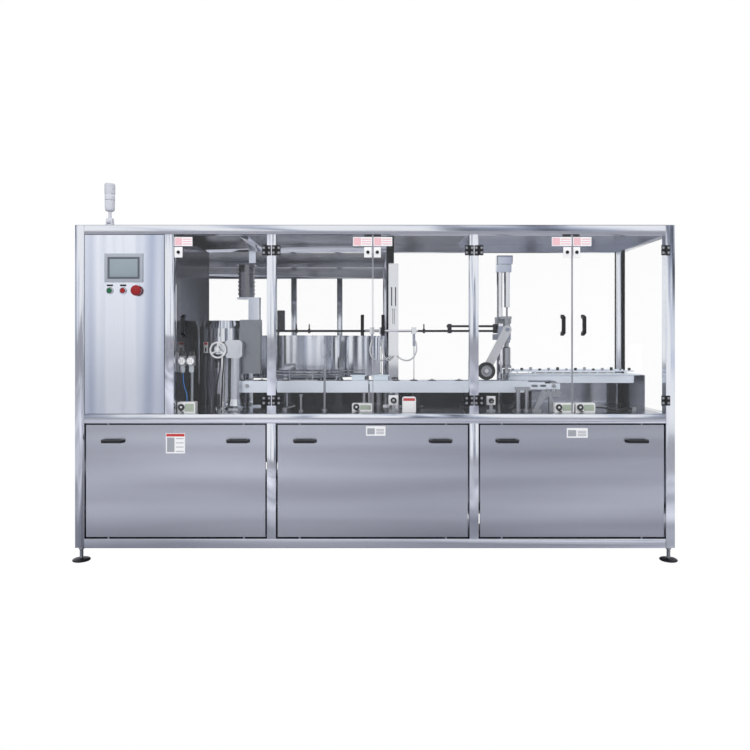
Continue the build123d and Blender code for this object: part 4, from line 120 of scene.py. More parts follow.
def banded(made, dark, light, scale):
    """Wide soft bands of two colours along the polish; on the upright door sheet they are painted
    reflection streaks.
    """
    tree = made.node_tree
    place = add(tree, "TexCoord").outputs["Object"]
    stretched = add(tree, "Mapping", {}, {"Vector": place, "Scale": scale})
    bands = add(tree, "TexNoise", {}, {
        "Vector": stretched.outputs["Vector"], "Scale": 1.0, "Detail": 1.0})
    ramp = add(tree, "ValToRGB", {}, {"Fac": bands.outputs["Fac"]})
    for element, position, code in zip(ramp.color_ramp.elements, (0.36, 0.64), (dark, light)):
        element.position = position
        element.color = colour(code)
    shader = tree.nodes["Principled BSDF"]
    tree.links.new(ramp.outputs["Color"], shader.inputs["Base Color"])


polished = steel("polished_304", "#E4E7EE", 0.06, 0.16, 0.10, (900, 900, 3), 0.04)
brushed = steel("brushed_304", "#C4C6CE", 0.23, 0.25, 0.0, (4, 4, 1400), 0.10)
door_sheet = steel("brushed_304_upright", "#DCE3F0", 0.25, 0.27, 0.0, (1400, 1400, 3), 0.10)
bright = steel("mirror_304", "#D8DADF", 0.03, 0.08, 0.05, (900, 900, 3), 0.02)
satin_light = steel("vapour_blasted_304", "#E6E9EE", 0.16, 0.26, 0.03, (900, 900, 900), 0.05)
satin = steel("bead_blasted_304", "#B5B7BC", 0.34, 0.42, 0.03, (900, 900, 900), 0.05)
# Darker copy of the steel for the roof's downward faces over the first two bays: painted shade.
roof_painted_shade = steel("roof_304_in_shade", "#6B6C73", 0.16, 0.26, 0.12, (4, 900, 900), 0.06)
# Paler bluish copy of the roof steel: painted reflection on the roof's underside.
roof_painted_reflection = steel("roof_304_blue_cast", "#A9AFBF", 0.16, 0.26, 0.12, (4, 900, 900), 0.06)
# Near-black steel for the sheets behind and under the conveyor: painted shade.
splash_painted_shade = steel("splash_304_in_shade", "#2C2D31", 0.20, 0.30, 0.10, (4, 4, 900), 0.06)
# Darker mirror steel: painted shade on the cabinet's right wall, and the elevator motor's own
# mid-grey.
mirror_shade_and_motor_grey = steel("mirror_304_in_shade", "#6E6F75", 0.05, 0.10, 0.06, (900, 900, 3), 0.02)
# Darker steel for the deck plate inside the chamber: painted shade.
deck_painted_shade = steel("deck_304_in_shade", "#85878F", 0.12, 0.22, 0.08, (4, 900, 900), 0.06)
# Dark steel for the tie bars, and as painted shade under the conveyor and the outfeed table.
dark_steel = steel("blackened_steel", "#3A3B40", 0.22, 0.34, 0.03, (900, 900, 900), 0.04)
box_sheet = steel("brushed_304_grey", "#8E9298", 0.22, 0.32, 0.02, (900, 900, 4), 0.06)
banded(brushed, "#B6B8C1", "#CFD2DB", (0.4, 0.4, 7))
# The door sheet's vertical pale blue and grey streaks are painted reflections.
banded(door_sheet, "#BCC5DA", "#F0F4FD", (10, 10, 0.3))

# %% [markdown]
# The small parts are plastics and paint. A moulded plastic is a little rough and reflects
# at its edges, which the shader's own IOR of 1.5 gives.

# %% Plastics, paint and rubber
# Pale blue-white colour on the conveyor side plates and outfeed table, standing for their
# highlights: painted highlight.
rail = new_material("anodised_alloy", "#E9F1FB", 0.35, 0.36)
black_nylon = new_material("black_nylon", "#17181A", 0.0, 0.38)
grey_abs = new_material("grey_abs", "#C3C4CC", 0.0, 0.36)
white_abs = new_material("white_abs", "#EDEEF0", 0.0, 0.30)
lamp_grey = new_material("lamp_polycarbonate", "#C9CBD3", 0.0, 0.22)
paint_grey = new_material("light_grey_enamel", "#C6C8CC", 0.15, 0.28)
paint_dark = new_material("dark_enamel", "#232427", 0.3, 0.32)
green_plastic = new_material("green_push_cap", "#105C39", 0.0, 0.28)
red_plastic = new_material("red_push_cap", "#8F1116", 0.0, 0.24)
rubber = new_material("black_rubber", "#111112", 0.0, 0.55)
screen_glass = new_material("screen_glass", "#8E9AA2", 0.0, 0.12)
bezel_grey = new_material("bezel_grey", "#A2A8B1", 0.0, 0.34)
bezel_dark = new_material("bezel_dark_edge", "#585D65", 0.0, 0.30)
chrome = new_material("chromed_ring", "#D9DBE0", 1.0, 0.08)
wheel_grey = new_material("wheel_hub_grey", "#8F9299", 0.2, 0.35)
pale_nylon = new_material("pale_blue_nylon", "#D6E2EE", 0.0, 0.30)
bowl_clear = new_material("polycarbonate_bowl", "#DDE3EA", 0.0, 0.08, Transmission_Weight=0.5)
label_grey = new_material("label_grey", "#9FA3AA", 0.0, 0.42)
label_green = new_material("label_green_grey", "#A9B5A4", 0.0, 0.40)
edge_seal = new_material("edge_seal", "#A7A9B0", 0.0, 0.4)
blue_tube = new_material("blue_polyurethane", "#2F6FB8", 0.0, 0.22)
silicone = new_material("milky_silicone", "#E6E9ED", 0.0, 0.26, Transmission_Weight=0.25)
label_white = new_material("label_white", "#F1F1F2", 0.0, 0.42)
label_red = new_material("label_red", "#C23A3A", 0.0, 0.42)
label_pink = new_material("label_pink", "#E9BCC3", 0.0, 0.42)
pane = new_material("clear_acrylic", "#F4F8FB", 0.0, 0.02, Alpha=0.02, Specular_IOR_Level=0.2)
print("materials", len(bpy.data.materials))

# %% [markdown]
# A solid may hold faces of more than one stuff, and some faces take darker copies of their steel
# as painted shade, and the roof's underside over the third bay a bluish copy as painted
# reflection. They are told apart by their place, and take the second material's slot; the vertices
# are never touched.

# %% Giving the solids their materials
FINISH = {
    "main_frame": polished, "chamber_frame": polished, "levelling_feet": polished,
    # The deck plate takes a darker steel as painted shade.
    "deck_plate": deck_painted_shade, "outer_skins": brushed, "fixed_windows": pane,
    "cabinet_shell": bright, "control_modules": grey_abs, "control_door_skin": door_sheet,
    "touch_screen": grey_abs, "button_collars": black_nylon, "start_cap": green_plastic,
    "stop_cap": red_plastic, "estop_cap": red_plastic, "door_hardware": black_nylon,
    "frame_pins": satin, "lamp_foot": lamp_grey, "tower_lamp": lamp_grey,
    "drum_wall": polished, "drum_stand": brushed, "turntable_disc": brushed,
    "conveyor_frame": rail, "slat_chain": brushed, "main_drive_roller": satin,
    "main_idler_roller": satin, "guide_rails": bright, "outfeed_table": rail,
    "fill_column": bright, "tie_bars": dark_steel, "nozzle_bar": bright,
    "cap_column": bright, "cap_head": satin, "cap_chuck": satin, "press_arm": paint_grey,
    "press_wheel": rubber, "cap_hopper": bright, "cap_elevator": polished,
    "chute_box": box_sheet, "handwheel_stand": satin_light, "handwheel": white_abs,
    "deck_units": satin, "cables_and_tubes": rubber, "fill_hoses": silicone,
}
for name, node in nodes.items():
    stuff = FINISH.get(name)
    if stuff is None:
        stuff = pane if name.endswith("_pane") else black_nylon
        if name.startswith("base_panel"):
            stuff = brushed
    node.data.materials.clear()
    node.data.materials.append(stuff)


def paint(name, stuff, inside, downward=False):
    """Give a second stuff to the faces whose middle lies inside the box."""
    mesh = nodes[name].data
    mesh.materials.append(stuff)
    place = len(mesh.materials) - 1
    low, high = inside
    for face in mesh.polygons:
        if downward and face.normal.z > -0.5:
            continue
        if all(a <= v <= b for a, v, b in zip(low, face.center, high)):
            face.material_index = place


FAR = 9.0
ROOF_Z = 1.80
DECK_Z = 0.80
ROOF_SPLIT_X = 0.55
# Downward roof faces over the first two bays take a darker steel: painted shade.
paint("outer_skins", roof_painted_shade, ((-FAR, -FAR, ROOF_Z), (ROOF_SPLIT_X, FAR, FAR)), True)
# Downward roof faces over the third bay take a bluish steel: painted reflection.
paint("outer_skins", roof_painted_reflection, ((ROOF_SPLIT_X, -FAR, ROOF_Z), (FAR, FAR, FAR)), True)
# The back sheets under the conveyor are darkened nearly black: painted shade.
paint("outer_skins", splash_painted_shade, ((-1.12, -0.54, DECK_Z), (1.05, -0.52, 0.94)))
# The cabinet's right wall, facing the chamber, takes the darker mirror steel: painted shade.
paint("cabinet_shell", mirror_shade_and_motor_grey, ((-1.16, -FAR, DECK_Z), (FAR, FAR, FAR)))
# Conveyor legs and parts below the belt are darkened: painted shade.
paint("conveyor_frame", dark_steel, ((-FAR, -FAR, DECK_Z), (FAR, FAR, 0.9045)))
# Outfeed table parts below its top are darkened: painted shade.
paint("outfeed_table", dark_steel, ((-FAR, -FAR, DECK_Z), (FAR, FAR, 0.9600)))
# The elevator motor takes the same dark grey steel as its own colour.
paint("cap_elevator", mirror_shade_and_motor_grey, ((-0.84, -FAR, 1.475), (-0.69, FAR, 1.690)))
print("dressed", len(nodes), "solids")

# %% [markdown]
# Each piece is made the same way: a primitive or an outline, its modifiers, and then one
# function that applies them, moves the place into the mesh and sets it on its body.

# %% Making pieces
def only(obj):
    """Select this object alone."""
    bpy.ops.object.select_all(action="DESELECT")
    obj.select_set(True)
    bpy.context.view_layer.objects.active = obj


def shaped(obj, stuff, smooth=40):
    """Apply the modifiers and the place, shade the round faces and give the stuff."""
    only(obj)
    bpy.ops.object.convert(target="MESH")
    bpy.ops.object.transform_apply(location=True, rotation=True, scale=True)
    bpy.ops.object.shade_smooth_by_angle(angle=math.radians(smooth))
    obj.data.materials.clear()
    obj.data.materials.append(stuff)
    return obj


def bevel(obj, width, segments=3, angle=30):
    """Round the edges that turn by more than the angle."""
    step = obj.modifiers.new("edges", "BEVEL")
    step.width = width
    step.segments = segments
    step.limit_method = "ANGLE"
    step.angle_limit = math.radians(angle)


def cube(low, high):
    """A plain box between two corners, for the functions that finish it."""
    low, high = Vector(low), Vector(high)
    bpy.ops.object.select_all(action="DESELECT")
    bpy.ops.mesh.primitive_cube_add(size=1.0, location=(low + high) / 2)
    obj = bpy.context.object
    obj.scale = high - low
    bpy.ops.object.transform_apply(location=False, rotation=False, scale=True)
    return obj


def block(low, high, stuff, edge=0.001, segments=3):
    """A box between two corners with rounded edges."""
    obj = cube(low, high)
    if edge:
        bevel(obj, edge, segments)
    return shaped(obj, stuff)


def outline(points, low, high, axis, stuff, edge=0.0008, segments=2):
    """A flat outline pushed from low to high along the axis: 0 is X, 1 is Y, 2 is Z."""
    mesh = bpy.data.meshes.new("outline")
    order = {0: (2, 0, 1), 1: (0, 2, 1), 2: (0, 1, 2)}[axis]
    corners = []
    for a, b in points:
        values = (a, b, low)
        corners.append(tuple(values[order[i]] for i in range(3)))
    mesh.from_pydata(corners, [], [range(len(corners))])
    obj = bpy.data.objects.new("outline", mesh)
    bpy.context.scene.collection.objects.link(obj)
    only(obj)
    bpy.ops.object.mode_set(mode="EDIT")
    bpy.ops.mesh.select_all(action="SELECT")
    travel = [0.0, 0.0, 0.0]
    travel[axis] = high - low
    bpy.ops.mesh.extrude_region_move(TRANSFORM_OT_translate={"value": travel})
    bpy.ops.mesh.select_all(action="SELECT")
    bpy.ops.mesh.normals_make_consistent(inside=False)
    bpy.ops.object.mode_set(mode="OBJECT")
    if edge:
        bevel(obj, edge, segments)
    return shaped(obj, stuff)


TURN = {
    "x": Matrix.Rotation(math.radians(90), 4, "Y"),
    "-y": Matrix.Rotation(math.radians(90), 4, "X"),
    "y": Matrix.Rotation(math.radians(-90), 4, "X"),
    "z": Matrix.Identity(4),
}


def turned(profile, place, axis, stuff, steps=64, smooth=35):
    """A profile of radius and height, spun round the axis by a screw modifier."""
    mesh = bpy.data.meshes.new("turned")
    mesh.from_pydata([(r, 0, h) for r, h in profile],
                     [(i, i + 1) for i in range(len(profile) - 1)], [])
    obj = bpy.data.objects.new("turned", mesh)
    bpy.context.scene.collection.objects.link(obj)
    spin = obj.modifiers.new("spin", "SCREW")
    spin.steps = spin.render_steps = steps
    spin.use_merge_vertices = True
    spin.merge_threshold = 0.00002
    spin.use_normal_calculate = True
    obj.matrix_world = Matrix.Translation(place) @ TURN[axis]
    return shaped(obj, stuff, smooth)


def knob(place, axis, radius, length, stuff, edge=0.001, steps=32):
    """A short round from its place along the axis, its edges rounded."""
    return turned([(0, 0), (radius, 0), (radius, length - edge), (radius - edge * 0.3,
                  length - edge * 0.3), (radius - edge, length), (0, length)],
                  place, axis, stuff, steps)


def round_curve(name, points, radius, around, along):
    """A smooth curve near the points, as thick as the radius, with closed ends."""
    curve = bpy.data.curves.new(name, "CURVE")
    curve.dimensions = "3D"
    curve.bevel_depth = radius
    curve.bevel_resolution = around
    curve.use_fill_caps = True
    spline = curve.splines.new("NURBS")
    spline.points.add(len(points) - 1)
    for point, place in zip(spline.points, points):
        point.co = (*place, 1.0)
    spline.order_u = 3
    spline.use_endpoint_u = True
    spline.resolution_u = along
    obj = bpy.data.objects.new(name, curve)
    bpy.context.scene.collection.objects.link(obj)
    return obj


def pipe(points, radius, stuff):
    """A short bent rod as a mesh."""
    return shaped(round_curve("pipe", points, radius, 4, 10), stuff)


def joined(name, body, pieces):
    """Join the parts into one piece that rides on the body."""
    bpy.ops.object.select_all(action="DESELECT")
    for piece in pieces:
        piece.select_set(True)
    bpy.context.view_layer.objects.active = pieces[0]
    bpy.ops.object.join()
    made = bpy.context.object
    made.name = made.data.name = name
    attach(made, body)
    return made


mm = 0.001
FRONT_Y = -1.2915


# %% [markdown]
# The tubes of the frame have rounded corners. A copy of each solid gets a bevel on its
# edges, and the light then runs along every edge as it does on drawn tube.

# %% Rounded frame tubes
def rounded_copy(node, body, width):
    """A copy of the solid with rounded edges, which stands for it."""
    mesh = nodes[node].data.copy()
    obj = bpy.data.objects.new(node + "_rounded", mesh)
    bpy.context.scene.collection.objects.link(obj)
    only(obj)
    bpy.ops.object.mode_set(mode="EDIT")
    bpy.ops.mesh.select_all(action="SELECT")
    bpy.ops.mesh.remove_doubles(threshold=0.00001)
    bpy.ops.mesh.dissolve_limited(angle_limit=math.radians(1))
    bpy.ops.object.mode_set(mode="OBJECT")
    bevel(obj, width, 2, 40)
    only(obj)
    bpy.ops.object.convert(target="MESH")
    bpy.ops.object.shade_smooth_by_angle(angle=math.radians(30))
    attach(obj, body)
    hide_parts(node)
    return obj


TUBE_ROUND = 3.5 * mm
for node in ("main_frame", "chamber_frame"):
    rounded_copy(node, "root", TUBE_ROUND)


# %% [markdown]
# The clear doors carry a blank plate at the top corner and a small white bracket below it.
# A thin strip seals the meeting edge of each pair. Each hinge has four round bolts.

# %% Door plates, edge strips and hinge bolts
LABEL = 0.8 * mm


def label(x0, x1, z0, z1, field, share):
    """A blank white plate with a tinted field on its left and thin lines on the right."""
    plate = block((x0, FRONT_Y - LABEL, z0), (x1, FRONT_Y, z1), label_white, 0.3 * mm, 1)
    rim = 4 * mm
    middle = x0 + (x1 - x0) * share
    parts = [plate, block((x0 + rim, FRONT_Y - 1.5 * LABEL, z0 + rim),
                          (middle, FRONT_Y - LABEL, z1 - rim), field, 0.2 * mm, 1)]
    for row in range(3):
        z = z0 + (z1 - z0) * (0.24 + 0.26 * row)
        parts.append(block((middle + rim, FRONT_Y - 1.4 * LABEL, z - 3 * mm),
                           (x1 - rim, FRONT_Y - LABEL, z + 3 * mm), label_pink, 0.2 * mm, 1))
    return parts


def bracket(x0, x1, z0, z1):
    """A white bracket on the pane with a black turn button."""
    plate = block((x0, FRONT_Y - 3 * mm, z0), (x1, FRONT_Y, z1), label_white, 1.2 * mm)
    middle = ((x0 + x1) / 2, FRONT_Y - 3 * mm, (z0 + z1) / 2)
    return [plate, knob(middle, "-y", 9 * mm, 5 * mm, black_nylon),
            block((middle[0] - 3 * mm, FRONT_Y - 11 * mm, middle[2] - 9 * mm),
                  (middle[0] + 3 * mm, FRONT_Y - 8 * mm, middle[2] + 9 * mm), black_nylon)]


PLATES = {
    "guard_1_door": ((-1.103, -1.004), (-1.103, -1.058)),
    "guard_2_left_door": ((-0.121, -0.016), (-0.060, -0.018)),
    "guard_2_right_door": ((-0.008, 0.095), (-0.007, 0.032)),
    "guard_3_left_door": ((0.972, 1.081), (1.035, 1.079)),
    "guard_3_right_door": ((1.089, 1.190), (1.090, 1.128)),
}
for body, (plate_x, bracket_x) in PLATES.items():
    pieces = label(*plate_x, 1.735, 1.785, label_pink, 0.42)
    pieces += bracket(*bracket_x, 1.672, 1.730)
    joined(body.replace("_door", "_plates"), body, pieces)

for body, x in (("guard_2_left_door", -0.014), ("guard_2_right_door", -0.011),
                ("guard_3_left_door", 1.0835), ("guard_3_right_door", 1.0865)):
    inward = -1.0 if "_left_" in body else 1.0
    x0, x1 = sorted((x - inward * 0.2 * mm, x + inward * 2.2 * mm))
    strip = block((x0, FRONT_Y - 0.4 * mm, 0.8135), (x1, FRONT_Y + 8.4 * mm, 1.7965), edge_seal,
                  0.4 * mm, 2)
    joined(body.replace("_door", "_edge_strip"), body, [strip])

HINGES = (
    ("guard_1_door", -0.5965, -1), ("guard_2_left_door", -0.5435, 1),
    ("guard_2_right_door", 0.5185, -1), ("guard_3_left_door", 0.5715, 1),
    ("guard_3_right_door", 1.5985, -1),
)
LEAF_Y = FRONT_Y - 3 * mm


def bolts(x, z):
    """Two round bolt heads, one above the other, on a hinge leaf."""
    return [turned([(0, 0), (7.2 * mm, 0), (7.2 * mm, 1.4 * mm), (6.4 * mm, 2.4 * mm),
                    (3.0 * mm, 2.6 * mm), (2.6 * mm, 1.2 * mm), (0, 1.2 * mm)],
                   (x, LEAF_Y, z + dz), "-y", satin, 24)
            for dz in (-0.0135, 0.0135)]


fixed_bolts = []
for body, pin_x, side in HINGES:
    moving = []
    for z in (0.8855, 1.712):
        moving += bolts(pin_x + side * 0.0145, z)
        fixed_bolts += bolts(pin_x - side * 0.0145, z)
    joined(body.replace("_door", "_hinge_bolts"), body, moving)
joined("frame_hinge_bolts", "root", fixed_bolts)

# %% [markdown]
# The control door holds a touch screen in a grey bezel and three push buttons. The glass
# is a plain grey, as on a screen that is switched off.

# %% Touch screen and buttons
SCREEN_X = -1.381
SCREEN_Z = 1.615
BUTTON_Z = 1.490
START_X, STOP_X, ESTOP_X = -1.458, -1.385, -1.308
BEZEL_HALF = (0.1085, 0.0815)
INNER_HALF = (0.088, 0.060)
GLASS_HALF = (0.077, 0.049)


def framed(x0, x1, z0, z1, y0, y1, rim, stuff, edge):
    """A plate with a rectangular window, made by insetting and pushing its front."""
    obj = cube((x0, y0, z0), (x1, y1, z1))
    front = min(obj.data.polygons, key=lambda face: face.center.y)
    for face in obj.data.polygons:
        face.select = face == front
    bpy.ops.object.mode_set(mode="EDIT")
    bpy.ops.mesh.select_mode(type="FACE")
    bpy.ops.mesh.inset(thickness=rim, depth=0)
    bpy.ops.mesh.inset(thickness=1.5 * mm, depth=-2.4 * mm)
    bpy.ops.object.mode_set(mode="OBJECT")
    bevel(obj, edge, 3, 50)
    return shaped(obj, stuff)


def around_screen(half, inset=0.0):
    """The left, right, lower and upper edge of a rectangle about the screen's middle."""
    wide, tall = half[0] - inset, half[1] - inset
    return SCREEN_X - wide, SCREEN_X + wide, SCREEN_Z - tall, SCREEN_Z + tall


bezel = framed(*around_screen(BEZEL_HALF), FRONT_Y - 7 * mm, FRONT_Y, 0.0225, bezel_grey, 2.2 * mm)
inner = framed(*around_screen(INNER_HALF), FRONT_Y - 6.6 * mm, FRONT_Y - 3 * mm, 0.010,
               bezel_dark, 0.8 * mm)
x0, x1, z0, z1 = around_screen(GLASS_HALF)
glass = block((x0, FRONT_Y - 5.0 * mm, z0), (x1, FRONT_Y - 3.2 * mm, z1), screen_glass, 0.4 * mm)
x0, x1, z0, z1 = around_screen(BEZEL_HALF, 6 * mm)
body_behind = block((x0, FRONT_Y, z0), (x1, FRONT_Y + 38 * mm, z1), paint_dark, 2 * mm)
screen = joined("touch_screen_dressed", "control_door", [bezel, inner, glass, body_behind])
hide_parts("touch_screen")


def collar(x, radius):
    """A chromed ring with the threaded neck that goes through the door."""
    seat = 13.9 * mm
    return turned([(6.4 * mm, -22 * mm), (11 * mm, -22 * mm), (11 * mm, 0), (radius, 0),
                   (radius, 4 * mm), (radius - 2 * mm, 8 * mm), (radius - 4 * mm, 9 * mm),
                   (seat + 1 * mm, 9 * mm), (seat, 8 * mm), (seat, 1.5 * mm),
                   (6.4 * mm, 1.5 * mm), (6.4 * mm, -22 * mm)],
                  (x, FRONT_Y, BUTTON_Z), "-y", chrome, 48)


fronts = []
for x, radius in ((START_X, 20 * mm), (STOP_X, 20 * mm), (ESTOP_X, 24 * mm)):
    fronts.append(collar(x, radius))
    fronts.append(block((x - 15 * mm, FRONT_Y + 22 * mm, BUTTON_Z - 15 * mm),
                        (x + 15 * mm, FRONT_Y + 64 * mm, BUTTON_Z + 15 * mm), black_nylon,
                        1.5 * mm))
    if x != ESTOP_X:
        fronts.append(block((x - 17 * mm, FRONT_Y - 1.2 * mm, BUTTON_Z + 24 * mm),
                            (x + 17 * mm, FRONT_Y, BUTTON_Z + 34 * mm), black_nylon, 0.8 * mm))
collars = joined("button_fronts", "control_door", fronts)
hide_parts("button_collars")

for name, x, stuff in (("start", START_X, green_plastic), ("stop", STOP_X, red_plastic)):
    cap = turned([(0, -26 * mm), (6 * mm, -26 * mm), (6 * mm, 6 * mm), (13.4 * mm, 6 * mm),
                  (13.4 * mm, 9.6 * mm), (12.6 * mm, 10.8 * mm), (11.4 * mm, 11 * mm),
                  (9 * mm, 10.3 * mm), (0, 10.0 * mm)],
                 (x, FRONT_Y, BUTTON_Z), "-y", stuff, 48)
    piece = joined(name + "_cap_dressed", name + "_button", [cap])
    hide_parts(name + "_cap")

mushroom = turned([(0, -26 * mm), (6 * mm, -26 * mm), (6 * mm, 11 * mm), (12.5 * mm, 14.5 * mm),
                   (16 * mm, 16 * mm), (26.5 * mm, 16 * mm), (28.6 * mm, 17.6 * mm),
                   (29 * mm, 20 * mm), (28.2 * mm, 23.5 * mm), (25 * mm, 27 * mm),
                   (19 * mm, 29.6 * mm), (11 * mm, 30.8 * mm), (0, 31 * mm)],
                  (ESTOP_X, FRONT_Y, BUTTON_Z), "-y", red_plastic, 64)
mushroom = joined("estop_cap_dressed", "estop_button", [mushroom])
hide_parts("estop_cap")

# %% [markdown]
# The signal lamp is a closed grey column with one lens on its upper part. It folds down
# on a knuckle, so the dressed lamp rides on the same body as its solid.

# %% Signal lamp
LAMP_X, LAMP_Y = -1.468, -1.2665
column = [(0, 1.991), (24 * mm, 1.991), (26.5 * mm, 1.9925), (27 * mm, 1.995),
          (27 * mm, 2.022), (26 * mm, 2.0235), (26 * mm, 2.0255), (28 * mm, 2.027)]
for index in range(7):
    z = 2.028 + 0.0070 * index
    column += [(28.3 * mm, z), (28.3 * mm, z + 0.0048), (27.5 * mm, z + 0.0056),
               (27.5 * mm, z + 0.0066)]
column += [(28.3 * mm, 2.0785), (27.6 * mm, 2.0815), (25.5 * mm, 2.0835), (20 * mm, 2.0838),
           (0, 2.0838)]
lens = turned(column, (LAMP_X, LAMP_Y, 0), "z", lamp_grey, 56)
stem = turned([(0, 1.905), (8.5 * mm, 1.905), (8.5 * mm, 1.928), (15 * mm, 1.930),
               (22 * mm, 1.933), (25 * mm, 1.938), (26.2 * mm, 1.946), (26.8 * mm, 1.990),
               (0, 1.990)], (LAMP_X, LAMP_Y, 0), "z", lamp_grey, 56)
knuckle = knob((LAMP_X - 11 * mm, LAMP_Y, 1.878), "x", 16.5 * mm, 22 * mm, lamp_grey, 2 * mm, 40)
neck = block((LAMP_X - 8 * mm, LAMP_Y - 8 * mm, 1.880), (LAMP_X + 8 * mm, LAMP_Y + 8 * mm, 1.910),
             lamp_grey, 3 * mm)
lamp_piece = joined("tower_lamp_dressed", "lamp", [lens, stem, knuckle, neck])
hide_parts("tower_lamp")

# %% [markdown]
# Each levelling foot is a domed pad, a threaded stem and a lock nut under the tube.

# %% Levelling feet
FEET = [(-1.625, -1.2665), (1.625, -1.2665), (1.625, -0.5465), (-1.625, 1.2835),
        (0.100, 1.2835), (-1.625, -0.5465), (0.100, -0.5465)]
feet = []
for x, y in FEET:
    thread = [(0, 10 * mm)]
    for index in range(20):
        z = (14 + 3 * index) * mm
        thread += [(10 * mm, z), (8.8 * mm, z + 1.5 * mm)]
    thread += [(9.6 * mm, 75 * mm), (9.6 * mm, 92 * mm), (0, 92 * mm)]
    feet.append(turned(thread, (x, y, 0), "z", satin, 24))
    feet.append(turned([(0, 0), (46 * mm, 0), (47.4 * mm, 1.5 * mm), (47.4 * mm, 5 * mm),
                        (44 * mm, 8 * mm), (20 * mm, 13 * mm), (14 * mm, 14 * mm),
                        (0, 14 * mm)], (x, y, 0), "z", black_nylon, 48))
    nut = knob((x, y, 62 * mm), "z", 15 * mm, 13 * mm, satin, 1 * mm, 6)
    feet.append(nut)
feet = joined("levelling_feet_dressed", "root", feet)
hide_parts("levelling_feet")

# %% [markdown]
# Handwheel, press wheel and gauges are turned parts. The handwheel has a round rim and three oval
# spokes; the press wheel is a rubber tyre on a grey hub.

# %% Wheels and gauges
HAND_X, HAND_Y, HAND_Z = -0.921, FRONT_Y + 0.236, 1.160
ring_points = [(44.5 * mm + 5.5 * mm * math.cos(a), 5.5 * mm * math.sin(a))
               for a in (2 * math.pi * i / 16 for i in range(17))]
rim = turned(ring_points, (HAND_X, HAND_Y, HAND_Z), "-y", white_abs, 72)
hub = turned([(0, -10 * mm), (13 * mm, -10 * mm), (15 * mm, -7 * mm), (15 * mm, 5 * mm),
              (12 * mm, 10 * mm), (6 * mm, 11 * mm), (5 * mm, 9 * mm), (0, 9 * mm)],
             (HAND_X, HAND_Y, HAND_Z), "-y", white_abs, 40)
shaft = turned([(0, 0), (8 * mm, 0), (8 * mm, 45 * mm), (0, 45 * mm)],
               (HAND_X, HAND_Y, HAND_Z), "y", chrome, 32)
spokes = []
for index in range(3):
    angle = math.radians(90 + 120 * index)
    way = Vector((math.cos(angle), 0, math.sin(angle)))
    middle = Vector((HAND_X, HAND_Y, HAND_Z))
    spokes.append(pipe([middle + way * 10 * mm, middle + way * 24 * mm + Vector((0, 1.2 * mm, 0)),
                        middle + way * 42 * mm], 5.2 * mm, white_abs))
wheel = joined("handwheel_dressed", "hand_wheel", [rim, hub, shaft, *spokes])
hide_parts("handwheel")

PRESS = (0.664, -1.001, 1.034)
tyre = turned([(33 * mm, 3 * mm), (50 * mm, 1 * mm), (52.4 * mm, 2.6 * mm), (53 * mm, 6 * mm),
               (53 * mm, 24 * mm), (52.4 * mm, 27.4 * mm), (50 * mm, 29 * mm), (33 * mm, 27 * mm),
               (33 * mm, 3 * mm)], PRESS, "y", rubber, 72)
face = turned([(6.6 * mm, 2 * mm), (14 * mm, 2 * mm), (15 * mm, 6 * mm), (24 * mm, 8 * mm),
               (30 * mm, 5 * mm), (33.2 * mm, 4 * mm), (33.2 * mm, 26 * mm), (24 * mm, 22 * mm),
               (15 * mm, 24 * mm), (14 * mm, 28 * mm), (6.6 * mm, 28 * mm), (6.6 * mm, 2 * mm)],
              PRESS, "y", wheel_grey, 64)
press = joined("press_wheel_dressed", "wheel", [tyre, face])
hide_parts("press_wheel")
end_cap = knob((PRESS[0], PRESS[1] - 1.5 * mm, PRESS[2]), "y", 10 * mm, 3 * mm, white_abs, 1 * mm)
joined("press_wheel_cap", "wheel_arm", [end_cap])

GAUGE_Z = 1.101
GAUGE_RADIUS = 22 * mm
GAUGE_FRONT = FRONT_Y + 0.066
CASE = [(0, -2 * mm), (GAUGE_RADIUS, -2 * mm), (GAUGE_RADIUS + 1.5 * mm, 0),
        (GAUGE_RADIUS + 1.5 * mm, 7 * mm), (GAUGE_RADIUS, 9 * mm),
        (GAUGE_RADIUS - 3 * mm, 9 * mm), (GAUGE_RADIUS - 3.6 * mm, 6 * mm), (0, 6 * mm)]
DIAL = [(0, 6 * mm), (GAUGE_RADIUS - 4 * mm, 6 * mm), (GAUGE_RADIUS - 4 * mm, 6.6 * mm),
        (0, 6.6 * mm)]
gauges = []
for x in (-1.082, -1.032):
    place = (x, GAUGE_FRONT, GAUGE_Z)
    gauges.append(turned(CASE, place, "-y", chrome, 48))
    gauges.append(turned(DIAL, place, "-y", label_white, 48))
    for turn in (-50, 40, 130, 220):
        a = math.radians(turn)
        middle = Vector((x, GAUGE_FRONT - 7 * mm, GAUGE_Z))
        way = Vector((math.cos(a), 0, math.sin(a)))
        start = middle + way * 4 * mm
        stop = middle + way * 14 * mm
        gauges.append(pipe([start, (start + stop) / 2, stop], 0.9 * mm, black_nylon))
    gauges.append(turned([(0, 1.034), (8 * mm, 1.034), (13 * mm, 1.040), (14.5 * mm, 1.050),
                          (14.5 * mm, 1.068), (12 * mm, 1.072), (0, 1.072)],
                         (x, GAUGE_FRONT + 15 * mm, 0), "z", bowl_clear, 40))
    gauges.append(turned([(0, 1.130), (12 * mm, 1.130), (13.6 * mm, 1.134), (13.6 * mm, 1.152),
                          (11 * mm, 1.156), (0, 1.156)], (x, GAUGE_FRONT + 15 * mm, 0), "z",
                         black_nylon, 24))
joined("air_gauges", "root", gauges)

# %% [markdown]
# Blank plates lie where the machine carries its labels: on the three base panels, on the
# cap hopper and on the four boxes that stand on the deck. They hold tinted fields only.

# %% Blank plates on panels, hopper and boxes
PANEL_Y = FRONT_Y + 5 * mm


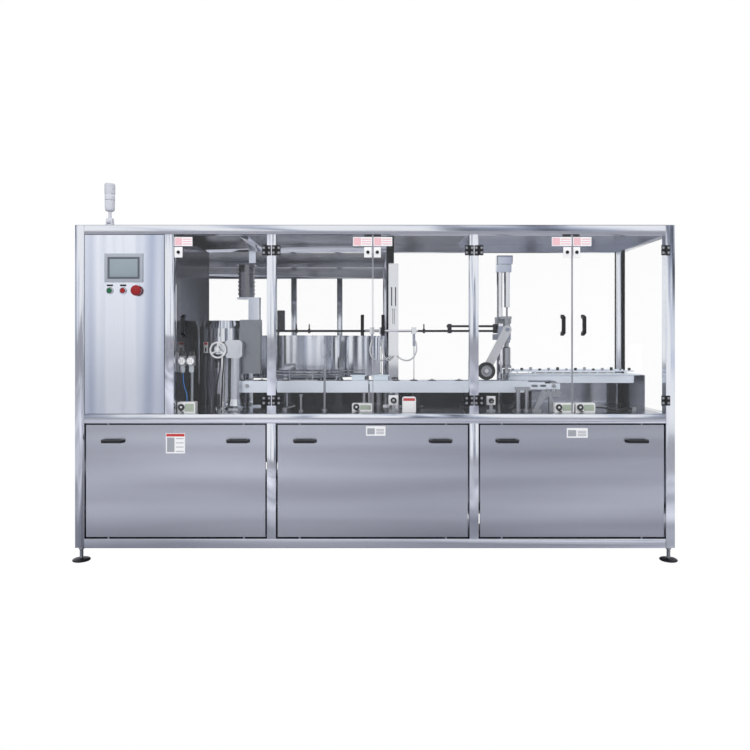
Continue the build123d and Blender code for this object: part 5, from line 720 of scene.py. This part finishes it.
def panel_plate(name, body, x0, x1, z0, z1, band, band_share):
    """A blank plate with a band above, a field on its left and four bars on the right."""
    plate = block((x0, PANEL_Y - 0.8 * mm, z0), (x1, PANEL_Y, z1), label_white, 0.3 * mm, 1)
    split = z1 - (z1 - z0) * band_share
    parts = [plate, block((x0 + 3 * mm, PANEL_Y - 1.2 * mm, split), (x1 - 3 * mm,
                           PANEL_Y - 0.8 * mm, z1 - 3 * mm), band, 0.2 * mm, 1)]
    middle = x0 + (x1 - x0) * 0.45
    parts.append(block((x0 + 7 * mm, PANEL_Y - 1.2 * mm, z0 + 8 * mm),
                       (middle, PANEL_Y - 0.8 * mm, split - 6 * mm), label_grey, 0.2 * mm, 1))
    for row in range(4):
        z = z0 + 12 * mm + (split - z0 - 24 * mm) * row / 3
        parts.append(block((middle + 8 * mm, PANEL_Y - 1.2 * mm, z - 2 * mm),
                           (x1 - 8 * mm, PANEL_Y - 0.8 * mm, z + 2 * mm), label_grey,
                           0.2 * mm, 1))
    return joined(name, body, parts)


panel_plate("base_plate_left", "lift_off_panel_1", -1.1520, -1.0460, 0.594, 0.705, label_red,
            0.16)
panel_plate("base_plate_middle", "lift_off_panel_2", -0.0495, 0.0578, 0.691, 0.744, label_white,
            0.1)
panel_plate("base_plate_right", "lift_off_panel_3", 1.056, 1.1715, 0.680, 0.734, label_white,
            0.1)

HOPPER_X, HOPPER_Y = -0.935, FRONT_Y + 0.526
HOPPER_RADIUS = 0.165
PLATE_TURN = -126


def on_hopper(half_turn, radius, steps=6):
    """Points along an arc of the hopper's wall, about the plate's middle."""
    turns = [PLATE_TURN - half_turn + 2 * half_turn * index / steps for index in range(steps + 1)]
    return [(HOPPER_X + radius * math.cos(math.radians(turn)),
             HOPPER_Y + radius * math.sin(math.radians(turn))) for turn in turns]


parts = []
for z0, z1, half_turn, lift, stuff in (
        (1.140, 1.208, 7.0, 0.4 * mm, label_white), (1.190, 1.205, 5.4, 0.9 * mm, label_red),
        (1.148, 1.172, 2.2, 0.9 * mm, black_nylon)):
    radius = HOPPER_RADIUS + lift
    corners = on_hopper(half_turn, radius) + on_hopper(half_turn, radius - 0.6 * mm)[::-1]
    parts.append(outline(corners, z0, z1, 2, stuff, 0))
joined("hopper_plate", "root", parts)

BOXES = (
    (-1.104, -1.006, FRONT_Y + 0.060, 0.872), (-0.132, -0.017, FRONT_Y + 0.150, 0.856),
    (1.014, 1.123, FRONT_Y + 0.095, 0.863), (1.134, 1.243, FRONT_Y + 0.095, 0.863),
)
parts = []
for x0, x1, y, top_z in BOXES:
    low_z = 0.811
    third = x0 + (x1 - x0) * 0.42
    middle_z = (low_z + top_z) / 2
    parts.append(block((third, y - 1.2 * mm, low_z + 8 * mm), (x1 - 7 * mm, y, top_z - 9 * mm),
                       label_green, 0.4 * mm, 1))
    place = (x0 + (x1 - x0) * 0.22, y, middle_z + 2 * mm)
    parts.append(turned([(0, 0), (17 * mm, 0), (18 * mm, 2 * mm), (18 * mm, 7 * mm),
                         (16 * mm, 9 * mm), (11 * mm, 9 * mm), (10 * mm, 5 * mm), (0, 5 * mm)],
                        place, "-y", black_nylon, 40))
    parts.append(knob((place[0], y - 5 * mm, place[2]), "-y", 6 * mm, 5 * mm, white_abs))
    parts.append(pipe([(place[0] - 8 * mm, y - 6 * mm, place[2] - 12 * mm),
                       (place[0] - 2 * mm, y - 9 * mm, low_z + 6 * mm),
                       (third - 6 * mm, y - 5 * mm, low_z + 4 * mm)], 3 * mm, black_nylon))
for x, z, width in ((0.106, 0.874, 0.056), (0.665, 0.872, 0.050)):
    y = FRONT_Y + 0.150
    parts.append(turned([(7.2 * mm, 0), (0.5 * width * 0.62, 0), (0.5 * width * 0.62, 3 * mm),
                         (0.34 * width * 0.62, 4 * mm), (7.2 * mm, 2 * mm), (7.2 * mm, 0)],
                        (x, y - 9 * mm, z), "-y", black_nylon, 40))
parts.append(block((0.163, FRONT_Y + 0.1088, 0.826), (0.224, FRONT_Y + 0.110, 0.868), label_white,
                   0.4 * mm, 1))
parts.append(block((0.160, FRONT_Y + 0.1086, 0.874), (0.227, FRONT_Y + 0.110, 0.889), label_red,
                   0.4 * mm, 1))
joined("deck_box_fronts", "root", parts)
for x0, x1, y, top_z in BOXES:
    paint("deck_units", white_abs, ((x0 - mm, y - mm, DECK_Z), (x1 + mm, y + 0.055, top_z + mm)))
for x in (0.106, 0.665):
    paint("deck_units", white_abs, ((x - 0.03, FRONT_Y + 0.13, 0.84), (x + 0.03, FRONT_Y + 0.17,
                                                                     0.91)))
paint("deck_units", white_abs, ((0.150, FRONT_Y + 0.10, DECK_Z), (0.235, FRONT_Y + 0.142, 0.90)))

# %% [markdown]
# Over the front plate of the conveyor stand dark clamps and two pale blocks that centre
# the bottles. The outfeed table carries small knobs on its fence.

# %% Clamps and knobs
BELT_Y, BELT_Z = -0.9755, 0.975
CLAMP_PIXELS = (286, 321, 396, 414, 432, 459, 262, 340)
MIDDLE_PIXEL = 375
METRES_PER_PIXEL = 0.0055
BELT_DEPTH = 1.087
clamps = []
for pixel_x in CLAMP_PIXELS:
    x = (pixel_x - MIDDLE_PIXEL) * METRES_PER_PIXEL * BELT_DEPTH
    clamps.append(block((x - 22 * mm, BELT_Y - 6 * mm, BELT_Z), (x + 22 * mm, BELT_Y + 5 * mm,
                                                              BELT_Z + 7 * mm), black_nylon,
                        3.2 * mm))
    clamps.append(knob((x, BELT_Y, BELT_Z + 6 * mm), "z", 6 * mm, 7 * mm, satin))
for x0, x1 in ((-0.138, -0.062), (-0.012, 0.078)):
    clamps.append(block((x0, BELT_Y - 6 * mm, BELT_Z), (x1, BELT_Y + 5 * mm, 1.003), pale_nylon,
                        3 * mm))
    clamps.append(block((x0 - 10 * mm, BELT_Y - 7 * mm, 1.003), (x1 + 10 * mm, BELT_Y + 6 * mm,
                                                            1.011), pale_nylon, 2 * mm))
joined("belt_clamps", "root", clamps)

FENCE_X, FENCE_Y = 0.853, FRONT_Y + 0.452
FENCE_PITCH = 0.0554
tops = []
for index in range(14):
    x = FENCE_X + FENCE_PITCH * index
    tall = 0.004 * (index % 3)
    tops.append(turned([(0, 1.031), (4 * mm, 1.031), (4 * mm, 1.033), (8 * mm, 1.034),
                        (9 * mm, 1.036), (9 * mm, 1.041 + tall), (7 * mm, 1.043 + tall),
                        (0, 1.043 + tall)], (x, FENCE_Y, 0), "z",
                       black_nylon if index % 2 else chrome, 20))
joined("fence_knobs", "root", tops)

# %% [markdown]
# Cables and hoses are splines through the same points as their solids. The three filling
# hoses bend between the fixed ports and the needle bar, which lifts by 60 mm.

# %% Cords
def cord_curve(name, points, radius, stuff):
    """A cord that stays a curve."""
    obj = round_curve(name, points, radius, 6, 16)
    obj.data.materials.append(stuff)
    return obj


STAND_Y = FRONT_Y + 0.292
AIR_Y = FRONT_Y + 0.093
BOX_TO_POST = 0.349
CABLE_SHARE = 0.656
DECK_RUN = CABLE_SHARE * BOX_TO_POST
CABLES = (
    ("gearbox_cable_right", 0.004, 0.314, rubber, [
        (-0.898, STAND_Y, 1.128), (-0.898, STAND_Y, 1.066), (-0.905, STAND_Y - 0.014, 0.998),
        (-0.902, STAND_Y - 0.020, 0.928), (-0.912, STAND_Y, 0.874), (-0.912, STAND_Y, 0.818)]),
    ("gearbox_cable_left", 0.004, 0.316, rubber, [
        (-0.918, STAND_Y, 1.128), (-0.918, STAND_Y, 1.062), (-0.931, STAND_Y - 0.012, 0.994),
        (-0.938, STAND_Y - 0.022, 0.922), (-0.944, STAND_Y, 0.872), (-0.944, STAND_Y, 0.818)]),
    ("air_tube", 0.003, 0.169, blue_tube, [
        (-1.082, AIR_Y, 1.038), (-1.082, AIR_Y, 0.996), (-1.074, AIR_Y - 0.008, 0.956),
        (-1.060, AIR_Y, 0.914), (-1.060, AIR_Y, 0.872)]),
    ("deck_cable", 0.004, 0.247, rubber, [
        (1.251 + share * DECK_RUN, FRONT_Y + depth, 0.810 + rise) for share, depth, rise in (
            (0, 0.115, 0.026), (0.205, 0.115, 0.026), (0.415, 0.122, 0.012),
            (0.65, 0.148, 0.006), (0.825, 0.180, 0.011), (1, 0.180, 0.011))]),
)
for name, radius, length, stuff, points in CABLES:
    cable = cord_curve(name, points, radius, stuff)
    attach(cable, "root")
    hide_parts("cables_and_tubes")

NEEDLE_Y, NEEDLE_Z = -0.9445, 1.222
PORT_Y, PORT_Z = -0.888, 1.120
HOSE_RADIUS = 0.0045
HOSES = (
    ("fill_hose_left", -0.018, 0.094, 0.341, [
        (0, 0, 0), (0, -0.040, 0), (-0.008, -0.068, -0.030), (-0.014, -0.070, -0.076),
        (0.006, -0.058, -0.120)]),
    ("fill_hose_middle", 0.039, 0.114, 0.312, [
        (0, 0, 0), (0, -0.042, 0), (0.004, -0.072, -0.028), (0.006, -0.078, -0.072),
        (0.020, -0.066, -0.116)]),
    ("fill_hose_right", 0.236, 0.134, 0.334, [
        (0, 0, 0), (0, -0.040, 0), (0.010, -0.070, -0.028), (0.010, -0.076, -0.074),
        (-0.014, -0.062, -0.118)]),
)
for name, x, port_x, length, way in HOSES:
    points = [(x + dx, NEEDLE_Y + dy, NEEDLE_Z + dz) for dx, dy, dz in way]
    last = points[-1]
    points.append(((last[0] + port_x) / 2, (last[1] + PORT_Y) / 2 - 0.014, PORT_Z - 0.028))
    points.append((port_x, PORT_Y - 0.040, PORT_Z))
    points.append((port_x, PORT_Y, PORT_Z))
    hose = cord_curve(name, points, HOSE_RADIUS, silicone)
    path_curve = hose.data.copy()
    path_curve.bevel_depth = 0
    probe = bpy.data.objects.new("probe", path_curve)
    bpy.context.scene.collection.objects.link(probe)
    bpy.context.view_layer.update()
    line = bpy.data.meshes.new_from_object(probe)
    bpy.data.objects.remove(probe)
    only(hose)
    bpy.ops.object.convert(target="MESH")
    bpy.ops.object.shade_smooth()
    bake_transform(hose)
    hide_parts("fill_hoses")

# %% [markdown]
# The machine stands on a grey clouded floor in a white room. The room and the floor beside, before
# and behind the machine look white to the camera; under the machine the camera sees the grey
# floor, as painted shade. Polished steel mirrors soft grey clouds in them, and the light itself
# stays plain.

# %% Floor and room
bpy.ops.mesh.primitive_plane_add(size=60.0, location=(0, 0, 0))
floor = bpy.context.object
floor.name = "studio_floor"
paper = new_material("floor_paint", "#9B9CA6", 0.0, 0.5)
tree = paper.node_tree
shader = tree.nodes["Principled BSDF"]
across = add(tree, "Mapping", {}, {
    "Vector": add(tree, "TexCoord").outputs["Object"], "Scale": (0.25, 1.6, 1.0)})
clouds = add(tree, "TexNoise", {}, {
    "Vector": across.outputs["Vector"], "Scale": 1.0, "Detail": 2.0})
spread = add(tree, "MapRange", {}, {
    "Value": clouds.outputs["Fac"], "From Min": 0.36, "From Max": 0.64})
tones = add(tree, "MixRGB", {}, {
    "Fac": spread.outputs["Result"], "Color1": colour("#858793"), "Color2": colour("#E4E4EC")})
tree.links.new(tones.outputs["Color"], shader.inputs["Base Color"])
rays = add(tree, "LightPath")
glow = add(tree, "Emission", {}, {"Color": (1, 1, 1, 1), "Strength": 1.0})
spot = add(tree, "SeparateXYZ", {}, {0: add(tree, "TexCoord").outputs["Object"]})


def sign(socket, word, limit):
    """One step of arithmetic on a socket."""
    return add(tree, "Math", {"operation": word}, {0: socket, 1: limit}).outputs[0]


# Where none of these masks holds, under the machine, the camera sees the grey floor: painted
# shade.
beside = sign(sign(spot.outputs["X"], "ABSOLUTE", 0.0), "GREATER_THAN", 1.66)
before = sign(spot.outputs["Y"], "LESS_THAN", -1.05)
behind = sign(spot.outputs["Y"], "GREATER_THAN", -0.54)
right_of = sign(spot.outputs["X"], "GREATER_THAN", 0.12)
beyond = sign(spot.outputs["Y"], "GREATER_THAN", 1.30)
open_back = sign(behind, "MULTIPLY", sign(right_of, "MAXIMUM", beyond))
clear = sign(sign(beside, "MAXIMUM", before), "MAXIMUM", open_back)
white = add(tree, "Math", {"operation": "MULTIPLY"}, {0: clear, 1: rays.outputs["Is Camera Ray"]})
both = add(tree, "MixShader", {}, {
    0: white.outputs[0], 1: shader.outputs[0], 2: glow.outputs[0]})
tree.links.new(both.outputs[0], tree.nodes["Material Output"].inputs["Surface"])
floor.data.materials.append(paper)

world = bpy.data.worlds.new("white_room")
bpy.context.scene.world = world
world.use_nodes = True
tree = world.node_tree
rays = add(tree, "LightPath")
shown = add(tree, "Math", {"operation": "ADD", "use_clamp": True}, {
    0: rays.outputs["Is Camera Ray"], 1: rays.outputs["Is Transmission Ray"]})
level = add(tree, "MapRange", {}, {"Value": shown.outputs[0], "To Min": 0.62, "To Max": 1.0})
way = add(tree, "Mapping", {}, {
    "Vector": add(tree, "TexCoord").outputs["Generated"], "Scale": (6.5, 6.5, 1.3)})
hall = add(tree, "TexNoise", {}, {"Vector": way.outputs["Vector"], "Scale": 1.0, "Detail": 2.5})
parts = add(tree, "SeparateXYZ", {}, {0: add(tree, "TexCoord").outputs["Generated"]})
front = add(tree, "MapRange", {"interpolation_type": "SMOOTHSTEP"}, {
    "Value": parts.outputs["Y"], "From Min": -0.55, "From Max": -0.98, "To Min": 0.0,
    "To Max": 0.08})
sum_up = add(tree, "Math", {"operation": "ADD"}, {
    0: hall.outputs["Fac"], 1: front.outputs["Result"]})
tones = add(tree, "ValToRGB", {}, {"Fac": sum_up.outputs[0]})
stops = tones.color_ramp.elements
stops[0].position, stops[0].color = 0.40, colour("#2B2D35")
stops[1].position, stops[1].color = 0.555, colour("#FFFFFF")
for position, code in ((0.455, "#7E8391"), (0.50, "#C8D0E2")):
    stops.new(position).color = colour(code)
room = add(tree, "MixRGB", {}, {
    "Fac": rays.outputs["Is Glossy Ray"], "Color1": (1, 1, 1, 1),
    "Color2": tones.outputs["Color"]})
strength = add(tree, "Math", {"operation": "MAXIMUM"}, {
    0: level.outputs["Result"], 1: rays.outputs["Is Glossy Ray"]})
tree.links.new(room.outputs["Color"], tree.nodes["Background"].inputs["Color"])
tree.links.new(strength.outputs[0], tree.nodes["Background"].inputs["Strength"])


def soft_light(name, place, aim, width, height, power):
    bpy.ops.object.light_add(type="AREA", location=place)
    lamp = bpy.context.object
    lamp.name = name
    lamp.rotation_euler = (Vector(aim) - Vector(place)).to_track_quat("-Z", "Y").to_euler()
    lamp.data.shape = "RECTANGLE"
    lamp.data.size = width
    lamp.data.size_y = height
    lamp.data.energy = power
    return lamp


key = soft_light("key_light", (-2.5, -6.0, 4.2), (0, 0, 1.0), 4.0, 2.5, 170)
fill = soft_light("fill_light", (4.0, -5.0, 3.0), (0, 0, 1.0), 3.0, 2.5, 80)
top = soft_light("top_light", (0, 0.2, 4.5), (0, 0, 0), 4.0, 3.0, 90)
for lamp in (key, fill, top):
    lamp.visible_camera = False
    lamp.visible_glossy = False

# %% [markdown]
# The photograph was taken square to the front from 3.6 m away, with the camera level at
# 1.21 m, which a small shift of the lens turns into its framing.

# %% The camera
CAMERA_DISTANCE = 3.6
bpy.ops.object.camera_add(
    location=(0, FRONT_Y - CAMERA_DISTANCE, 1.213), rotation=(math.radians(90), 0, 0))
camera = bpy.context.object
camera.data.sensor_width = 36
camera.data.lens = 31.42
camera.data.shift_y = -0.0453
camera.data.clip_end = 200
bpy.context.scene.camera = camera
bpy.context.scene.view_settings.view_transform = "Standard"
